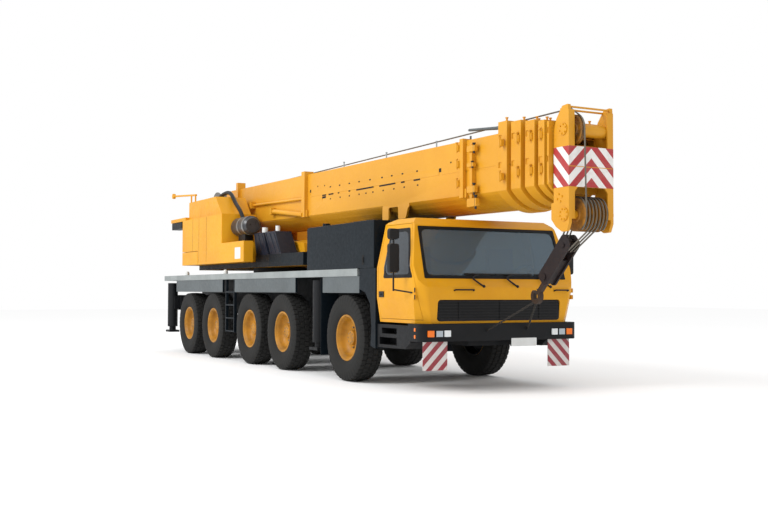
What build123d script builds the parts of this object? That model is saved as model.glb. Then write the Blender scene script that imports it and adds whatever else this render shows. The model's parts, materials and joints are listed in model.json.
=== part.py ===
from build123d import *
from math import asin, cos, sin, sqrt, radians
import os

# Five-axle mobile crane, millimetres.
# +X is forward, +Y the machine's left, +Z up; the origin is on the ground under the middle of its box.

# Overall frame
rear_reach = 9950            # first axle back to the rearmost edge
front_reach = 4460           # first axle forward to the rim of the lower head sheaves
first_axle_x = (rear_reach - front_reach) / 2
half_width = 1375
running_gap = 6              # between pieces that move past each other
seat_gap = 0.3               # between pieces that only rest on each other

# Axles and wheels
axle_gaps = (2600, 1650, 2150, 1650)
steered_axles = (1, 2, 4, 5)
tyre_radius = 685
tyre_width = 375
bead_radius = 340
rim_flange_radius = 366
wheel_y = half_width - tyre_width / 2
disc_offset = -20            # wheel disc from the tyre's middle, outwards positive
disc_thickness = 22
hub_cap_radius = 120
kingpin_y = 940
kingpin_radius = 48
knuckle_arm_rise = 95
beam_radius = 80
differential_radius = 190
strut_y = 520
strut_radius = 52
shaft_radius = 42
joint_radius = 78

# Chassis and deck
frame_half_width = 450
frame_bottom = 905
deck_top = 1770
deck_edge = 118
deck_plate = 26
deck_front = 450             # from the first axle
panel_bottom = 1392
panel_thickness = 40
cab_floor = 970

# Outriggers: beams slide sideways, jacks stand at their ends
# name, middle of the pair, right beam ahead of the left by
outrigger_stations = (("front", -1370, 370), ("rear", -9430, -400))
beam_width = 300
beam_bottom = 985
beam_height = 300
beam_housing_wall = 22
jack_tube_radius = 118
jack_rod_radius = 78
jack_tube_bottom = 560
jack_tube_top = 1600
foot_size = 330
foot_bottom = 430
foot_thickness = 48

# Rear towing clevis
tow_pin_x = -9890
tow_bore_radius = 25.5
tow_plate_rise = 60

# Engine cowl behind the cab
cowl_rear = -1450
cowl_front = 1000
cowl_top = 2494

# Cab
cab_rear = 1110
cab_front = 2345
cab_wall = 45
pane_thickness = 8
cab_roof = 2480
waist_low = 1330
waist_high = 1770
roof_half_width = 1215
sill_half_width = 1318
door_rear = 1160
door_bottom = 1024
door_top = 2392
door_gap = 6
corner_low = cab_floor - 10    # the front corners are cut back below the waist
corner_high = 1475
corner_leg_low = 262
corner_leg_high = 112

# Superstructure
slew_x = -5350
ring_radius = 780
ring_height = 120
platform_bottom = deck_top + ring_height + seat_gap
platform_top = 1995
platform_rear = -8400
platform_front = -3500
platform_half_width = 1000
cheek_inner = 500
cheek_thickness = 60
front_box_top = 2130          # of the box ahead of the housing, which carries two leaning covers

# Hoist winch behind the boom's foot
winch_x = -8900
winch_below_boom_top = 210
drum_radius = 250
flange_radius = 325
drum_half_width = 380
stand_inner = 420

# Boom: a U-shaped tube, nearly level in travel
boom_slope = 0.6             # degrees, front low
boom_top_x = -3350
boom_depth = 1030
rest_foot_z = cowl_top + 91         # the boom's rest posts end just over the cowl
boom_underside = rest_foot_z + 45
boom_top_z = boom_underside + boom_depth
boom_half_width = 470
boom_bottom_radius = 587.5
boom_wall = 11
section_step = 32            # each section is this much smaller all round
foot_pin_x = -7550
foot_pin_depth = 700
foot_pin_radius = 85

# Boom sections: rear end, collar rear, collar front (from the first axle)
boom_sections = (
    (-8050, 3035, 3240),
    (-7380, 3300, 3520),
    (-7200, 3580, 3785),
    (-7020, 3830, 3960),
    (-6840, 3978, 4025),
    (-6660, 4035, 4045),
)
collar_half_width = 530
collar_top = 140
collar_bottom_radius = 640
collar_step = 26

# Boom head
head_rear = 4035
head_front = 4345
head_half_width = 362
head_plate = 45
head_wall = 25
sheave_x = 4245
sheave_z = boom_top_z - 1255
sheave_radius = 215
sheave_axle_radius = 55
sheave_count = 7
sheave_pitch = 56
sheave_width = 38
top_sheave_x = 4235
top_sheave_z = boom_top_z - 170
top_sheave_radius = 198
top_sheave_half = 30
top_sheave_y = -190

# Luffing cylinder
cylinder_pin_x = -6200
cylinder_pin_z = 2265
rod_eye_x = -1800
rod_eye_z = boom_top_z - 1280
barrel_radius = 160
barrel_length = 3450
rod_radius = 105
eye_radius = 95
eye_half_width = 112
lug_thickness = 40

# Hook block, lashed forward of the bumper
block_start = 400            # from the lower sheave axle along the lashed ropes
block_length = 800
block_width = 170
block_half_depth = 112
block_cheek = 26
block_sheave_radius = 96
hook_eye = 1480              # from the lower sheave axle to the middle of the hook's bowl
hook_radius = 105
hook_bowl_radius = 50
hook_thickness = 62
rope_radius = 11
lash_angle = 45.0            # degrees from plumb

winch_z = boom_top_z - winch_below_boom_top

parts_folder = "parts"
os.makedirs(parts_folder, exist_ok=True)


def ahead(distance):
    """Turns a distance ahead of the first axle into the part's own x."""
    return first_axle_x + distance


def save(built, name):
    """Labels a finished piece and writes it."""
    built.part.label = name
    export_step(built.part, f"{parts_folder}/{name}.step")


def block(x, y, z, mode=Mode.ADD):
    """A plain box between two limits on each axis."""
    with Locations(((x[0] + x[1]) / 2, (y[0] + y[1]) / 2, (z[0] + z[1]) / 2)):
        Box(x[1] - x[0], y[1] - y[0], z[1] - z[0], mode=mode)


def from_side(outline, y, radius=0, mode=Mode.ADD):
    """Extrudes an outline drawn in the side view (x, z) between two y limits."""
    with BuildSketch(Plane.XZ.offset(-y[1])) as face:
        with BuildLine():
            Polyline(*outline, close=True)
        make_face()
        if radius:
            fillet(face.vertices(), radius=radius)
    extrude(face.sketch, amount=y[1] - y[0], mode=mode)


def from_front(outline, x, radius=0, mode=Mode.ADD):
    """Extrudes an outline drawn in the front view (y, z) between two x limits."""
    with BuildSketch(Plane.YZ.offset(x[0])) as face:
        with BuildLine():
            Polyline(*outline, close=True)
        make_face()
        if radius:
            fillet(face.vertices(), radius=radius)
    extrude(face.sketch, amount=x[1] - x[0], mode=mode)


def from_top(outline, z, radius=0, mode=Mode.ADD):
    """Extrudes an outline drawn in plan (x, y) between two z limits."""
    with BuildSketch(Plane.XY.offset(z[0])) as face:
        with BuildLine():
            Polyline(*outline, close=True)
        make_face()
        if radius:
            fillet(face.vertices(), radius=radius)
    extrude(face.sketch, amount=z[1] - z[0], mode=mode)


def rod(start, end, radius, mode=Mode.ADD):
    """A round bar between two points."""
    run = Vector(*end) - Vector(*start)
    with BuildSketch(Plane(origin=start, z_dir=run)) as face:
        Circle(radius)
    extrude(face.sketch, amount=run.length, mode=mode)


def mirrored(outline):
    """Closes a half outline in the front view with its mirror image."""
    return list(outline) + [(-y, z) for y, z in reversed(outline)]


# Axle places from front to rear
axle_x = [first_axle_x]
for gap in axle_gaps:
    axle_x.append(axle_x[-1] - gap)
hub_z = tyre_radius


# Wheels: tyre and deep-dished rim, both turned about the axle
def wheel(x, side, name):
    """One wheel: the tyre and the rim inside it, on side +1 (left) or -1 (right)."""
    half = tyre_width / 2
    tread_half = half - 32
    bead_half = half - 55
    centre = wheel_y * side
    plane = Plane(origin=(x, centre, hub_z), x_dir=(0, side, 0), z_dir=(1, 0, 0) if side > 0 else (-1, 0, 0))
    axis = Axis((x, centre, hub_z), (0, 1, 0))
    with BuildPart() as built:
        with BuildSketch(plane):
            with BuildLine():
                Polyline(
                    (-tread_half, tyre_radius - 12),
                    (-tread_half * 0.55, tyre_radius),
                    (tread_half * 0.55, tyre_radius),
                    (tread_half, tyre_radius - 12),
                )
                ThreePointArc((tread_half, tyre_radius - 12), (half, (tyre_radius + bead_radius) / 2 + 20),
                              (bead_half, bead_radius))
                Line((bead_half, bead_radius), (-bead_half, bead_radius))
                ThreePointArc((-bead_half, bead_radius), (-half, (tyre_radius + bead_radius) / 2 + 20),
                              (-tread_half, tyre_radius - 12))
            make_face()
        revolve(axis=axis)
        barrel = bead_radius - seat_gap
        skin = 14
        disc_in = disc_offset - disc_thickness
        lip = half - 40
        with BuildSketch(plane):
            with BuildLine():
                Polyline(
                    (-bead_half - seat_gap, barrel),
                    (bead_half + seat_gap, barrel),
                    (bead_half + seat_gap, rim_flange_radius),
                    (lip + 6, rim_flange_radius),
                    (lip + 6, barrel - skin),
                    (disc_offset + 70, barrel - 4 * skin),
                    (disc_offset, barrel - 7 * skin),
                    (disc_offset, hub_cap_radius),
                    (disc_offset + 90, hub_cap_radius - 14),
                    (disc_offset + 90, 0),
                    (disc_in, 0),
                    (disc_in, barrel - 7 * skin),
                    (disc_offset + 40, barrel - 3 * skin),
                    (disc_offset + 40, barrel - skin),
                    (-bead_half - seat_gap, barrel - skin),
                    close=True,
                )
            make_face()
        revolve(axis=axis)
    save(built, name)


for number, x in enumerate(axle_x, start=1):
    wheel(x, -1, f"wheel_{number}_right")
    wheel(x, 1, f"wheel_{number}_left")


# Knuckles: a forked upright round the beam's boss, with the hub that carries the wheel
boss_rise = knuckle_arm_rise - seat_gap
arm_thickness = 45
hub_face = wheel_y + disc_offset - disc_thickness - seat_gap


def knuckle(x, side, name):
    """One steering upright on side +1 (left) or -1 (right)."""
    low = sorted((side * (kingpin_y - 60), side * (kingpin_y + 130)))
    upright = sorted((side * (kingpin_y + 70), side * (kingpin_y + 130)))
    with BuildPart() as built:
        for level in (-1, 1):
            arm = sorted((hub_z + level * knuckle_arm_rise, hub_z + level * (knuckle_arm_rise + arm_thickness)))
            block((x - 60, x + 60), low, arm)
        block((x - 90, x + 90), upright, (hub_z - knuckle_arm_rise - arm_thickness,
                                          hub_z + knuckle_arm_rise + arm_thickness))
        rod((x, side * (kingpin_y + 100), hub_z), (x, side * hub_face, hub_z), 150)
        for level in (-1, 1):
            start = hub_z + level * (knuckle_arm_rise + arm_thickness)
            rod((x, side * kingpin_y, start), (x, side * kingpin_y, start + level * 25), 40)
        block((x - 330, x - 50), sorted((side * (kingpin_y - 60), side * (kingpin_y - 20))),
              (hub_z - knuckle_arm_rise - arm_thickness, hub_z - knuckle_arm_rise))
    save(built, name)


for number in steered_axles:
    knuckle(axle_x[number - 1], -1, f"knuckle_{number}_right")
    knuckle(axle_x[number - 1], 1, f"knuckle_{number}_left")


# Axle beams with their differentials and suspension struts
with BuildPart() as axle_beams:
    for number, x in enumerate(axle_x, start=1):
        steered = number in steered_axles
        reach = kingpin_y if steered else hub_face
        rod((x, -reach, hub_z), (x, reach, hub_z), beam_radius)
        with Locations((x, 0, hub_z)):
            Sphere(differential_radius)
        for side in (-1, 1):
            if steered:
                rod((x, side * kingpin_y, hub_z - boss_rise), (x, side * kingpin_y, hub_z + boss_rise),
                    kingpin_radius + 12)
            else:
                rod((x, side * (kingpin_y - 20), hub_z), (x, side * hub_face, hub_z), 150)
            rod((x, side * strut_y, hub_z), (x, side * strut_y, 1330), strut_radius)
            block((x - 70, x + 70), sorted((side * frame_half_width, side * (strut_y + strut_radius))), (1230, 1330))
    for front, rear in zip(axle_x, axle_x[1:]):
        rod((front, 0, hub_z), (rear, 0, hub_z), shaft_radius)
        for end, way in ((front, -1), (rear, 1)):
            rod((end + way * (differential_radius - 10), 0, hub_z), (end + way * (differential_radius + 90), 0, hub_z),
                joint_radius)
save(axle_beams, "axle_beams")


# Chassis frame: box girder, lowered under the cab, with the outrigger housings and the slew ring
frame_top = deck_top - deck_plate
low_frame_top = cab_floor - 20
frame_rear = tow_pin_x + 50
low_frame_bottom = 640
cab_mounts = (1190, 1660, 2060)
frame_outline = (
    (ahead(frame_rear), frame_bottom + 120),
    (ahead(frame_rear), frame_top),
    (ahead(deck_front + 80), frame_top),
    (ahead(deck_front + 80), 1560),
    (ahead(cab_rear - 120), low_frame_top),
    (ahead(cab_front - 180), low_frame_top),
    (ahead(cab_front - 180), low_frame_bottom),
    (ahead(950), low_frame_bottom),
    (ahead(650), frame_bottom),
    (ahead(-9700), frame_bottom),
)
with BuildPart() as chassis_frame:
    from_side(frame_outline, (-frame_half_width, frame_half_width))
    for end, middle, spacing in outrigger_stations:
        half_pair = abs(spacing) / 2 + beam_width / 2 + running_gap + beam_housing_wall
        station = (ahead(middle) - half_pair, ahead(middle) + half_pair)
        housing_z = (beam_bottom - running_gap - beam_housing_wall,
                     beam_bottom + beam_height + running_gap + beam_housing_wall)
        block(station, (-half_width + 260, half_width - 260), housing_z)
    for end, middle, spacing in outrigger_stations:
        for place in (-1, 1):
            centre = ahead(middle) + place * spacing / 2
            reach = beam_width / 2 + running_gap
            block((centre - reach, centre + reach), (-half_width, half_width),
                  (beam_bottom - seat_gap, beam_bottom + beam_height + running_gap), mode=Mode.SUBTRACT)
    for x in cab_mounts:
        for side in (-1, 1):
            rod((ahead(x), side * 370, low_frame_top - 10), (ahead(x), side * 370, cab_floor - seat_gap), 48)
    block((ahead(tow_pin_x) + 55, ahead(tow_pin_x) + 190), (-150, 150), (frame_bottom - 40, frame_bottom + 68))
    for level in (-1, 1):
        middle_z = frame_bottom + 40 + level * tow_plate_rise
        with BuildSketch(Plane.XY.offset(middle_z - 15)) as tow_plate:
            with Locations((ahead(tow_pin_x), 0)):
                Circle(58)
            with Locations((ahead(tow_pin_x) + 47, 0)):
                Rectangle(94, 116)
            with Locations((ahead(tow_pin_x), 0)):
                Circle(tow_bore_radius, mode=Mode.SUBTRACT)
        extrude(amount=30)
    rod((ahead(slew_x), 0, deck_top), (ahead(slew_x), 0, deck_top + ring_height), ring_radius)
    rod((ahead(slew_x), 0, frame_top), (ahead(slew_x), 0, deck_top), ring_radius - 60)
save(chassis_frame, "chassis_frame")


# Deck: a pressed plate with a deep edge channel
rear_lamp_depth = 24
deck_rear = -rear_reach + rear_lamp_depth
with BuildPart() as deck:
    block((ahead(deck_rear), ahead(deck_front)), (-half_width, half_width), (deck_top - deck_edge, deck_top))
    block((ahead(deck_rear + 45), ahead(deck_front - 45)), (-half_width + 45, half_width - 45),
          (deck_top - deck_edge, deck_top - deck_plate), mode=Mode.SUBTRACT)
    rod((ahead(slew_x), 0, deck_top - deck_edge), (ahead(slew_x), 0, deck_top + 1), ring_radius - 60,
        mode=Mode.SUBTRACT)
    block((ahead(deck_rear) - 1, ahead(deck_rear + 46)), (-frame_half_width, frame_half_width),
          (deck_top - deck_edge, deck_top - deck_plate), mode=Mode.SUBTRACT)
    block((ahead(deck_front - 46), ahead(deck_front) + 1), (-frame_half_width, frame_half_width),
          (deck_top - deck_edge, deck_top - deck_plate), mode=Mode.SUBTRACT)
save(deck, "deck")


# Side panels over the wheels, the ladder between them and the column behind the cab
panel_runs = ((-8970, -5750), (-5030, -1960), (-830, 505))
ladder_run = (-5570, -5090)
ladder_rungs = (600, 865, 1130, 1395)
column_outline = (
    (ahead(505) + seat_gap, deck_top),
    (ahead(505) + seat_gap, panel_bottom + 60),
    (ahead(700), panel_bottom + 10),
    (ahead(860), 1230),
    (ahead(905), 900),
    (ahead(880), 600),
    (ahead(1010), 570),
    (ahead(1040), 570),
    (ahead(1040), deck_top),
)
flap_x = -900
flap_bottom = 360
with BuildPart() as side_panels:
    for side in (-1, 1):
        skin = sorted((side * (half_width - 12), side * (half_width - 12 - panel_thickness)))
        for rear, front in panel_runs:
            block((ahead(rear), ahead(front)), skin, (panel_bottom, deck_top - deck_edge))
        rail = sorted((side * (half_width - 20), side * (half_width - 75)))
        for edge in ladder_run:
            block((ahead(edge) - 18, ahead(edge) + 18), rail, (ladder_rungs[0] - 20, deck_top - deck_edge))
        for level in ladder_rungs:
            block((ahead(ladder_run[0]), ahead(ladder_run[1])), rail, (level - 14, level + 14))
        from_side(column_outline, sorted((side * (half_width - 12), side * (half_width - 300))))
        flap = sorted((side * (half_width - 15), side * (half_width - 340)))
        block((ahead(flap_x) - 6, ahead(flap_x) + 6), flap, (flap_bottom, deck_top - deck_edge))
save(side_panels, "side_panels")


# Outriggers: each beam carries an upright jack tube at its outer end, the jack slides down in it
jack_rod_top = jack_tube_top - 60


def outrigger(x, side, name):
    """One beam with its jack tube, and the jack with its foot, stowed inside the width."""
    jack_y = side * (half_width - jack_tube_radius - 8)
    inner_end = -side * (half_width - 300)
    with BuildPart() as beam:
        block((x - beam_width / 2, x + beam_width / 2), sorted((jack_y, inner_end)),
              (beam_bottom, beam_bottom + beam_height))
        rod((x, jack_y, jack_tube_bottom), (x, jack_y, jack_tube_top), jack_tube_radius)
        rod((x, jack_y, jack_tube_bottom - 1), (x, jack_y, jack_rod_top + running_gap), jack_rod_radius + seat_gap,
            mode=Mode.SUBTRACT)
    save(beam, f"outrigger_beam_{name}")
    with BuildPart() as jack:
        rod((x, jack_y, foot_bottom), (x, jack_y, jack_rod_top), jack_rod_radius)
        foot = foot_size / 2
        edge = sorted((side * (half_width - 6), side * (half_width - 6 - 2 * (jack_tube_radius + 2))))
        block((x - foot, x + foot), edge, (foot_bottom, foot_bottom + foot_thickness))
    save(jack, f"outrigger_jack_{name}")


for end, middle, spacing in outrigger_stations:
    outrigger(ahead(middle) + spacing / 2, -1, f"{end}_right")
    outrigger(ahead(middle) - spacing / 2, 1, f"{end}_left")


# Engine cowl, with its intake and exhaust, and the engine inside it
cowl_wall = 25
cowl_bottom = deck_top
with BuildPart() as engine_cowl:
    from_side(
        (
            (ahead(cowl_rear), cowl_bottom),
            (ahead(cowl_rear), cowl_top - 30),
            (ahead(cowl_rear + 60), cowl_top),
            (ahead(cowl_front), cowl_top),
            (ahead(cowl_front), cowl_bottom),
        ),
        (-half_width + 2, half_width - 2),
    )
    block((ahead(cowl_rear) + cowl_wall, ahead(cowl_front) - cowl_wall),
          (-half_width + cowl_wall, half_width - cowl_wall), (cowl_bottom - 1, cowl_top - cowl_wall),
          mode=Mode.SUBTRACT)
save(engine_cowl, "engine_cowl")

with BuildPart() as carrier_engine:
    block((ahead(-1150), ahead(400)), (-430, 430), (deck_top, cowl_top - 114))
save(carrier_engine, "carrier_engine")

exhaust_x = -1290
with BuildPart() as cowl_fittings:
    rod((ahead(exhaust_x), -1080, cowl_top), (ahead(exhaust_x), -1080, cowl_top + 76), 66)
    with Locations((ahead(-330), -700, cowl_top + 38)):
        Box(620, 420, 76)
    fillet(cowl_fittings.edges().filter_by(Axis.Z).group_by(SortBy.LENGTH)[-1], radius=40)
save(cowl_fittings, "cowl_fittings")


# Cab: outer form is a side outline, narrowed to the front outline and rounded in plan
windscreen_low = (ahead(2262), 1585)
windscreen_high = (ahead(1985), 2372)


def cab_form(inset):
    """The cab's closed body, drawn in by a wall's thickness for its hollow."""
    side_outline = (
        (ahead(cab_rear) + inset, cab_floor + inset),
        (ahead(cab_front) - 40 - inset, cab_floor + inset),
        (ahead(cab_front) - inset, 1330),
        (ahead(cab_front) - inset, 1480),
        (windscreen_low[0] - inset, windscreen_low[1] - inset * 0.3),
        (windscreen_high[0] - inset, windscreen_high[1] - inset * 0.3),
        (ahead(1850) - inset, cab_roof - inset),
        (ahead(1300), cab_roof + 8 - inset),
        (ahead(cab_rear) + inset, cab_roof - 40 - inset),
    )
    front_half = (
        (sill_half_width - inset, cab_floor),
        (half_width - inset, waist_low),
        (half_width - inset, waist_high),
        (roof_half_width + 14 - inset, cab_roof - 70),
        (roof_half_width - 90 - inset, cab_roof + 8),
    )
    corner = 190 - inset
    with BuildPart(mode=Mode.PRIVATE) as form:
        from_side(side_outline, (-half_width, half_width))
        from_front(mirrored(front_half), (ahead(cab_rear) - 1, ahead(cab_front) + 1), mode=Mode.INTERSECT)
        with BuildSketch(Plane.XY.offset(cab_floor - 1)) as plan:
            with Locations(((ahead(cab_rear) + ahead(cab_front)) / 2, 0)):
                Rectangle(cab_front - cab_rear - 2 * inset, 2 * (half_width - inset))
            fillet(plan.vertices().group_by(Axis.X)[-1], radius=corner)
        extrude(amount=cab_roof, mode=Mode.INTERSECT)
        for side in (-1, 1):
            for level, leg in ((corner_low, corner_leg_low), (corner_high, corner_leg_high)):
                reach = leg - 0.586 * inset
                tip_x = ahead(cab_front) - inset
                tip_y = side * (half_width - inset)
                with BuildSketch(Plane.XY.offset(level)):
                    with BuildLine():
                        Polyline((tip_x + 9, tip_y + side * 9), (tip_x - reach, tip_y + side * 9),
                                 (tip_x - reach, tip_y), (tip_x, tip_y - side * reach),
                                 (tip_x + 9, tip_y - side * reach), close=True)
                    make_face()
            loft(mode=Mode.SUBTRACT)
    return form.part


cab_outer = cab_form(0)
cab_inner = cab_form(cab_wall)
cab_pane = cab_form(pane_thickness)

screen_lift = (windscreen_high[0] - windscreen_low[0], windscreen_high[1] - windscreen_low[1])
screen_length = sqrt(screen_lift[0] ** 2 + screen_lift[1] ** 2)
screen_plane = Plane(
    origin=((windscreen_low[0] + windscreen_high[0]) / 2, 0, (windscreen_low[1] + windscreen_high[1]) / 2),
    x_dir=(0, 1, 0),
    z_dir=(screen_lift[1], 0, -screen_lift[0]),
)
door_window = (
    (ahead(1325), 1620),
    (ahead(2150), 1620),
    (ahead(2010), 2000),
    (ahead(1880), 2325),
    (ahead(1325), 2325),
)


def door_outline(gap):
    """The door's edge in the side view, grown by a gap for its opening."""
    return (
        (ahead(door_rear) - gap, door_bottom - gap),
        (ahead(2232) + gap, door_bottom - gap),
        (ahead(2232) + gap, 1480),
        (ahead(2200) + gap, 1600),
        (ahead(2050) + gap, 2000),
        (ahead(1908) + gap, door_top + gap),
        (ahead(door_rear) - gap, door_top + gap),
    )



screen_half_width = 1222
screen_lean = 87.2
door_inner = 1150
grille_half_width = 1065
grille_low = 1000
grille_high = 1305
grille_depth = 38

with BuildPart() as cab_shell:
    add(cab_outer)
    add(cab_inner, mode=Mode.SUBTRACT)
    with BuildSketch(screen_plane):
        Trapezoid(2 * screen_half_width, screen_length - 60, screen_lean)
    extrude(amount=120, both=True, mode=Mode.SUBTRACT)
    for side in (-1, 1):
        from_side(door_outline(door_gap), sorted((side * (half_width + 1), side * door_inner)),
                  mode=Mode.SUBTRACT)
    with BuildSketch(Plane.YZ.offset(ahead(cab_front) - grille_depth)):
        with Locations((0, (grille_low + grille_high) / 2)):
            RectangleRounded(2 * grille_half_width, grille_high - grille_low, 50)
    extrude(amount=2 * grille_depth, mode=Mode.SUBTRACT)
save(cab_shell, "cab_shell")

with BuildPart() as windscreen:
    with BuildSketch(screen_plane.offset(-14)):
        Trapezoid(2 * screen_half_width - 2 * seat_gap, screen_length - 60 - 2 * seat_gap, screen_lean)
    extrude(amount=8)
save(windscreen, "windscreen")

grille_slats = 7
with BuildPart() as grille:
    with BuildSketch(Plane.YZ.offset(ahead(cab_front) - grille_depth + seat_gap)):
        with Locations((0, (grille_low + grille_high) / 2)):
            RectangleRounded(2 * (grille_half_width - 3), grille_high - grille_low - 6, 47)
    extrude(amount=8)
    pitch = (grille_high - grille_low - 20) / grille_slats
    for slat in range(grille_slats):
        level = grille_low + 10 + pitch * (slat + 0.5)
        block((ahead(cab_front) - grille_depth + seat_gap, ahead(cab_front) - 6),
              (-grille_half_width + 20, grille_half_width - 20), (level - 7, level + 7))
    for rib in (-1, 0, 1):
        block((ahead(cab_front) - grille_depth + seat_gap, ahead(cab_front) - 14),
              (rib * 700 - 8, rib * 700 + 8), (grille_low + 10, grille_high - 10))
save(grille, "grille")

hinge_x = 2238
hinge_y = half_width + 3
hinge_radius = 11
hinge_half = 32
hinge_heights = (1340, 1440)
mirror_arm_z = 1395
mirror_x = 1930
mirror_reach = 175
mirror_heights = ((1680, 2100), (2150, 2310))      # tall glass, wide glass
mirror_y = -half_width - mirror_reach
with BuildPart() as door_right:
    add(cab_outer)
    from_side(door_outline(0), (-half_width - 1, -door_inner - 1), mode=Mode.INTERSECT)
    add(cab_inner, mode=Mode.SUBTRACT)
    from_side(door_window, (-1500, -1100), radius=45, mode=Mode.SUBTRACT)
    rod((ahead(2190), -half_width + 30, mirror_arm_z), (ahead(mirror_x), mirror_y, mirror_arm_z + 50), 11)
    rod((ahead(mirror_x), mirror_y, mirror_arm_z + 30), (ahead(mirror_x), mirror_y, mirror_heights[-1][1] - 20), 13)
    for low, high in mirror_heights:
        with BuildSketch(Plane.YZ.offset(ahead(mirror_x) - 30)) as mirror_face:
            with Locations((mirror_y, (low + high) / 2)):
                RectangleRounded(170, high - low, 45)
        extrude(mirror_face.sketch, amount=60, taper=8)
    block((ahead(1190), ahead(1330)), (-half_width - 12, -half_width + 2), (1335, 1420))
    for level in hinge_heights:
        rod((ahead(hinge_x), -hinge_y, level - hinge_half), (ahead(hinge_x), -hinge_y, level + hinge_half), hinge_radius)
        block((ahead(hinge_x) - 60, ahead(hinge_x)), (-hinge_y, -hinge_y + 26), (level - hinge_half, level + hinge_half))
save(door_right, "door_right")
with BuildPart() as door_left:
    mirror(door_right.part, about=Plane.XZ)
save(door_left, "door_left")

with BuildPart() as door_glass_right:
    add(cab_outer)
    from_side(door_window, (-1500, -door_inner), radius=45, mode=Mode.INTERSECT)
    add(cab_pane, mode=Mode.SUBTRACT)
save(door_glass_right, "door_glass_right")
with BuildPart() as door_glass_left:
    mirror(door_glass_right.part, about=Plane.XZ)
save(door_glass_left, "door_glass_left")

# Seats and dashboard
seat_y = 760
with BuildPart() as cab_interior:
    floor = cab_floor + cab_wall
    for side in (-1, 1):
        block((ahead(1180), ahead(1660)), sorted((side * (seat_y - 240), side * (seat_y + 240))),
              (floor, floor + 420))
        from_side(((ahead(1170), floor + 420), (ahead(1290), floor + 420), (ahead(1235), floor + 1080),
                   (ahead(1165), floor + 1080)), sorted((side * (seat_y - 230), side * (seat_y + 230))))
    block((ahead(1960), ahead(cab_front) - cab_wall - 60), (-1060, 1060), (floor, 1470))
save(cab_interior, "cab_interior")


# Bumper with the steps below the doors, and its warning boards
bumper_low = 720
bumper_high = 968
bumper_front = cab_front + 25
with BuildPart() as bumper:
    with BuildSketch(Plane.XY.offset(bumper_low)) as bumper_plan:
        with Locations((ahead(bumper_front - 170), 0)):
            Rectangle(340, 2 * (half_width - 5))
        fillet(bumper_plan.vertices().group_by(Axis.X)[-1], radius=110)
    extrude(amount=bumper_high - bumper_low)
    block((ahead(bumper_front - 360), ahead(bumper_front - 180)), (-frame_half_width - seat_gap,
          frame_half_width + seat_gap), (bumper_low - 1, bumper_high + 1), mode=Mode.SUBTRACT)
    for side in (-1, 1):
        from_side(
            ((ahead(1045), 590), (ahead(1045), 935), (ahead(bumper_front - 330), 935),
             (ahead(bumper_front - 330), 700), (ahead(1900), 600)),
            sorted((side * (half_width - 40), side * (half_width - 330))),
        )
        for low, high, rear in ((640, 745, 1120), (800, 885, 1190)):
            block((ahead(rear), ahead(1640)), sorted((side * (half_width - 39), side * (half_width - 230))),
                  (low, high), mode=Mode.SUBTRACT)
        block((ahead(bumper_front - 95), ahead(bumper_front - 80)), sorted((side * 878, side * 1277)), (316, 722))
save(bumper, "bumper")

lamp_z = 832
lamp_rows = ((1150, 1255), (1010, 1120), (880, 985))    # inner and outer edge of each front lamp
with BuildPart() as lamps:
    for side in (-1, 1):
        for inner, outer in lamp_rows:
            block((ahead(bumper_front) + seat_gap, ahead(bumper_front + 22)), sorted((side * inner, side * outer)),
                  (lamp_z - 45, lamp_z + 45))
        block((ahead(-rear_reach), ahead(deck_rear) - seat_gap), sorted((side * 900, side * 1250)),
              (deck_top - 100, deck_top - 20))
save(lamps, "lamps")


# Superstructure platform with the two cheeks that carry the boom's foot
foot_pin_z = boom_top_z + (boom_top_x - foot_pin_x) * sin(radians(boom_slope)) - foot_pin_depth
cheek_outline = (
    (ahead(-7950), platform_top - 5),
    (ahead(-7800), foot_pin_z + 60),
    (ahead(foot_pin_x - 160), foot_pin_z + 190),
    (ahead(foot_pin_x + 160), foot_pin_z + 190),
    (ahead(-6500), 2560),
    (ahead(-3420), 2345),
    (ahead(-3350), 2110),
    (ahead(-3600), platform_top - 5),
)
with BuildPart() as turntable:
    block((ahead(platform_rear), ahead(platform_front)), (-platform_half_width, platform_half_width),
          (platform_bottom, platform_top))
    for side in (-1, 1):
        from_side(cheek_outline, sorted((side * cheek_inner, side * (cheek_inner + cheek_thickness))))
    rod((ahead(foot_pin_x), -700, foot_pin_z), (ahead(foot_pin_x), 700, foot_pin_z), foot_pin_radius + seat_gap,
        mode=Mode.SUBTRACT)
    block((ahead(cylinder_pin_x - 260), ahead(cylinder_pin_x + 260)), (-240, 240), (platform_top - 20, platform_top + 25))
    for side in (-1, 1):
        ear = sorted((side * (eye_half_width + seat_gap), side * (eye_half_width + seat_gap + lug_thickness)))
        from_side(((ahead(cylinder_pin_x - 220), platform_top - 10), (ahead(cylinder_pin_x - 90), cylinder_pin_z + 110),
                   (ahead(cylinder_pin_x + 90), cylinder_pin_z + 110),
                   (ahead(cylinder_pin_x + 220), platform_top - 10)), ear)
    block((ahead(-4840), ahead(-4080)), (-platform_half_width + 12, -cheek_inner - cheek_thickness + 5),
          (platform_top - 10, front_box_top))
    block((ahead(-4090), ahead(-2450)), (-platform_half_width, -cheek_inner - cheek_thickness + 5),
          (platform_bottom, front_box_top))
save(turntable, "turntable")


# Counterweight slabs at the rear, kept low between the cheeks for the boom's tail
with BuildPart() as counterweight:
    from_top(
        ((ahead(-8500), -half_width), (ahead(-8500), half_width), (ahead(-7400), half_width),
         (ahead(-7400), 600), (ahead(-7990), 600), (ahead(-7990), -600), (ahead(-7400), -600),
         (ahead(-7400), -half_width)),
        (platform_top + seat_gap, 2290),
    )
    block((ahead(-8500), ahead(-6450)), (620, half_width), (2290, 3030))
    for side in (-1, 1):
        from_side(((ahead(-8500), 2200), (ahead(-9050), 3450), (ahead(-8950), 3560), (ahead(-8800), 3560),
                   (ahead(-8440), 2290), (ahead(-8300), 2290), (ahead(-8300), 2200)),
                  sorted((side * stand_inner, side * (stand_inner + 50))))
save(counterweight, "counterweight")


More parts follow.
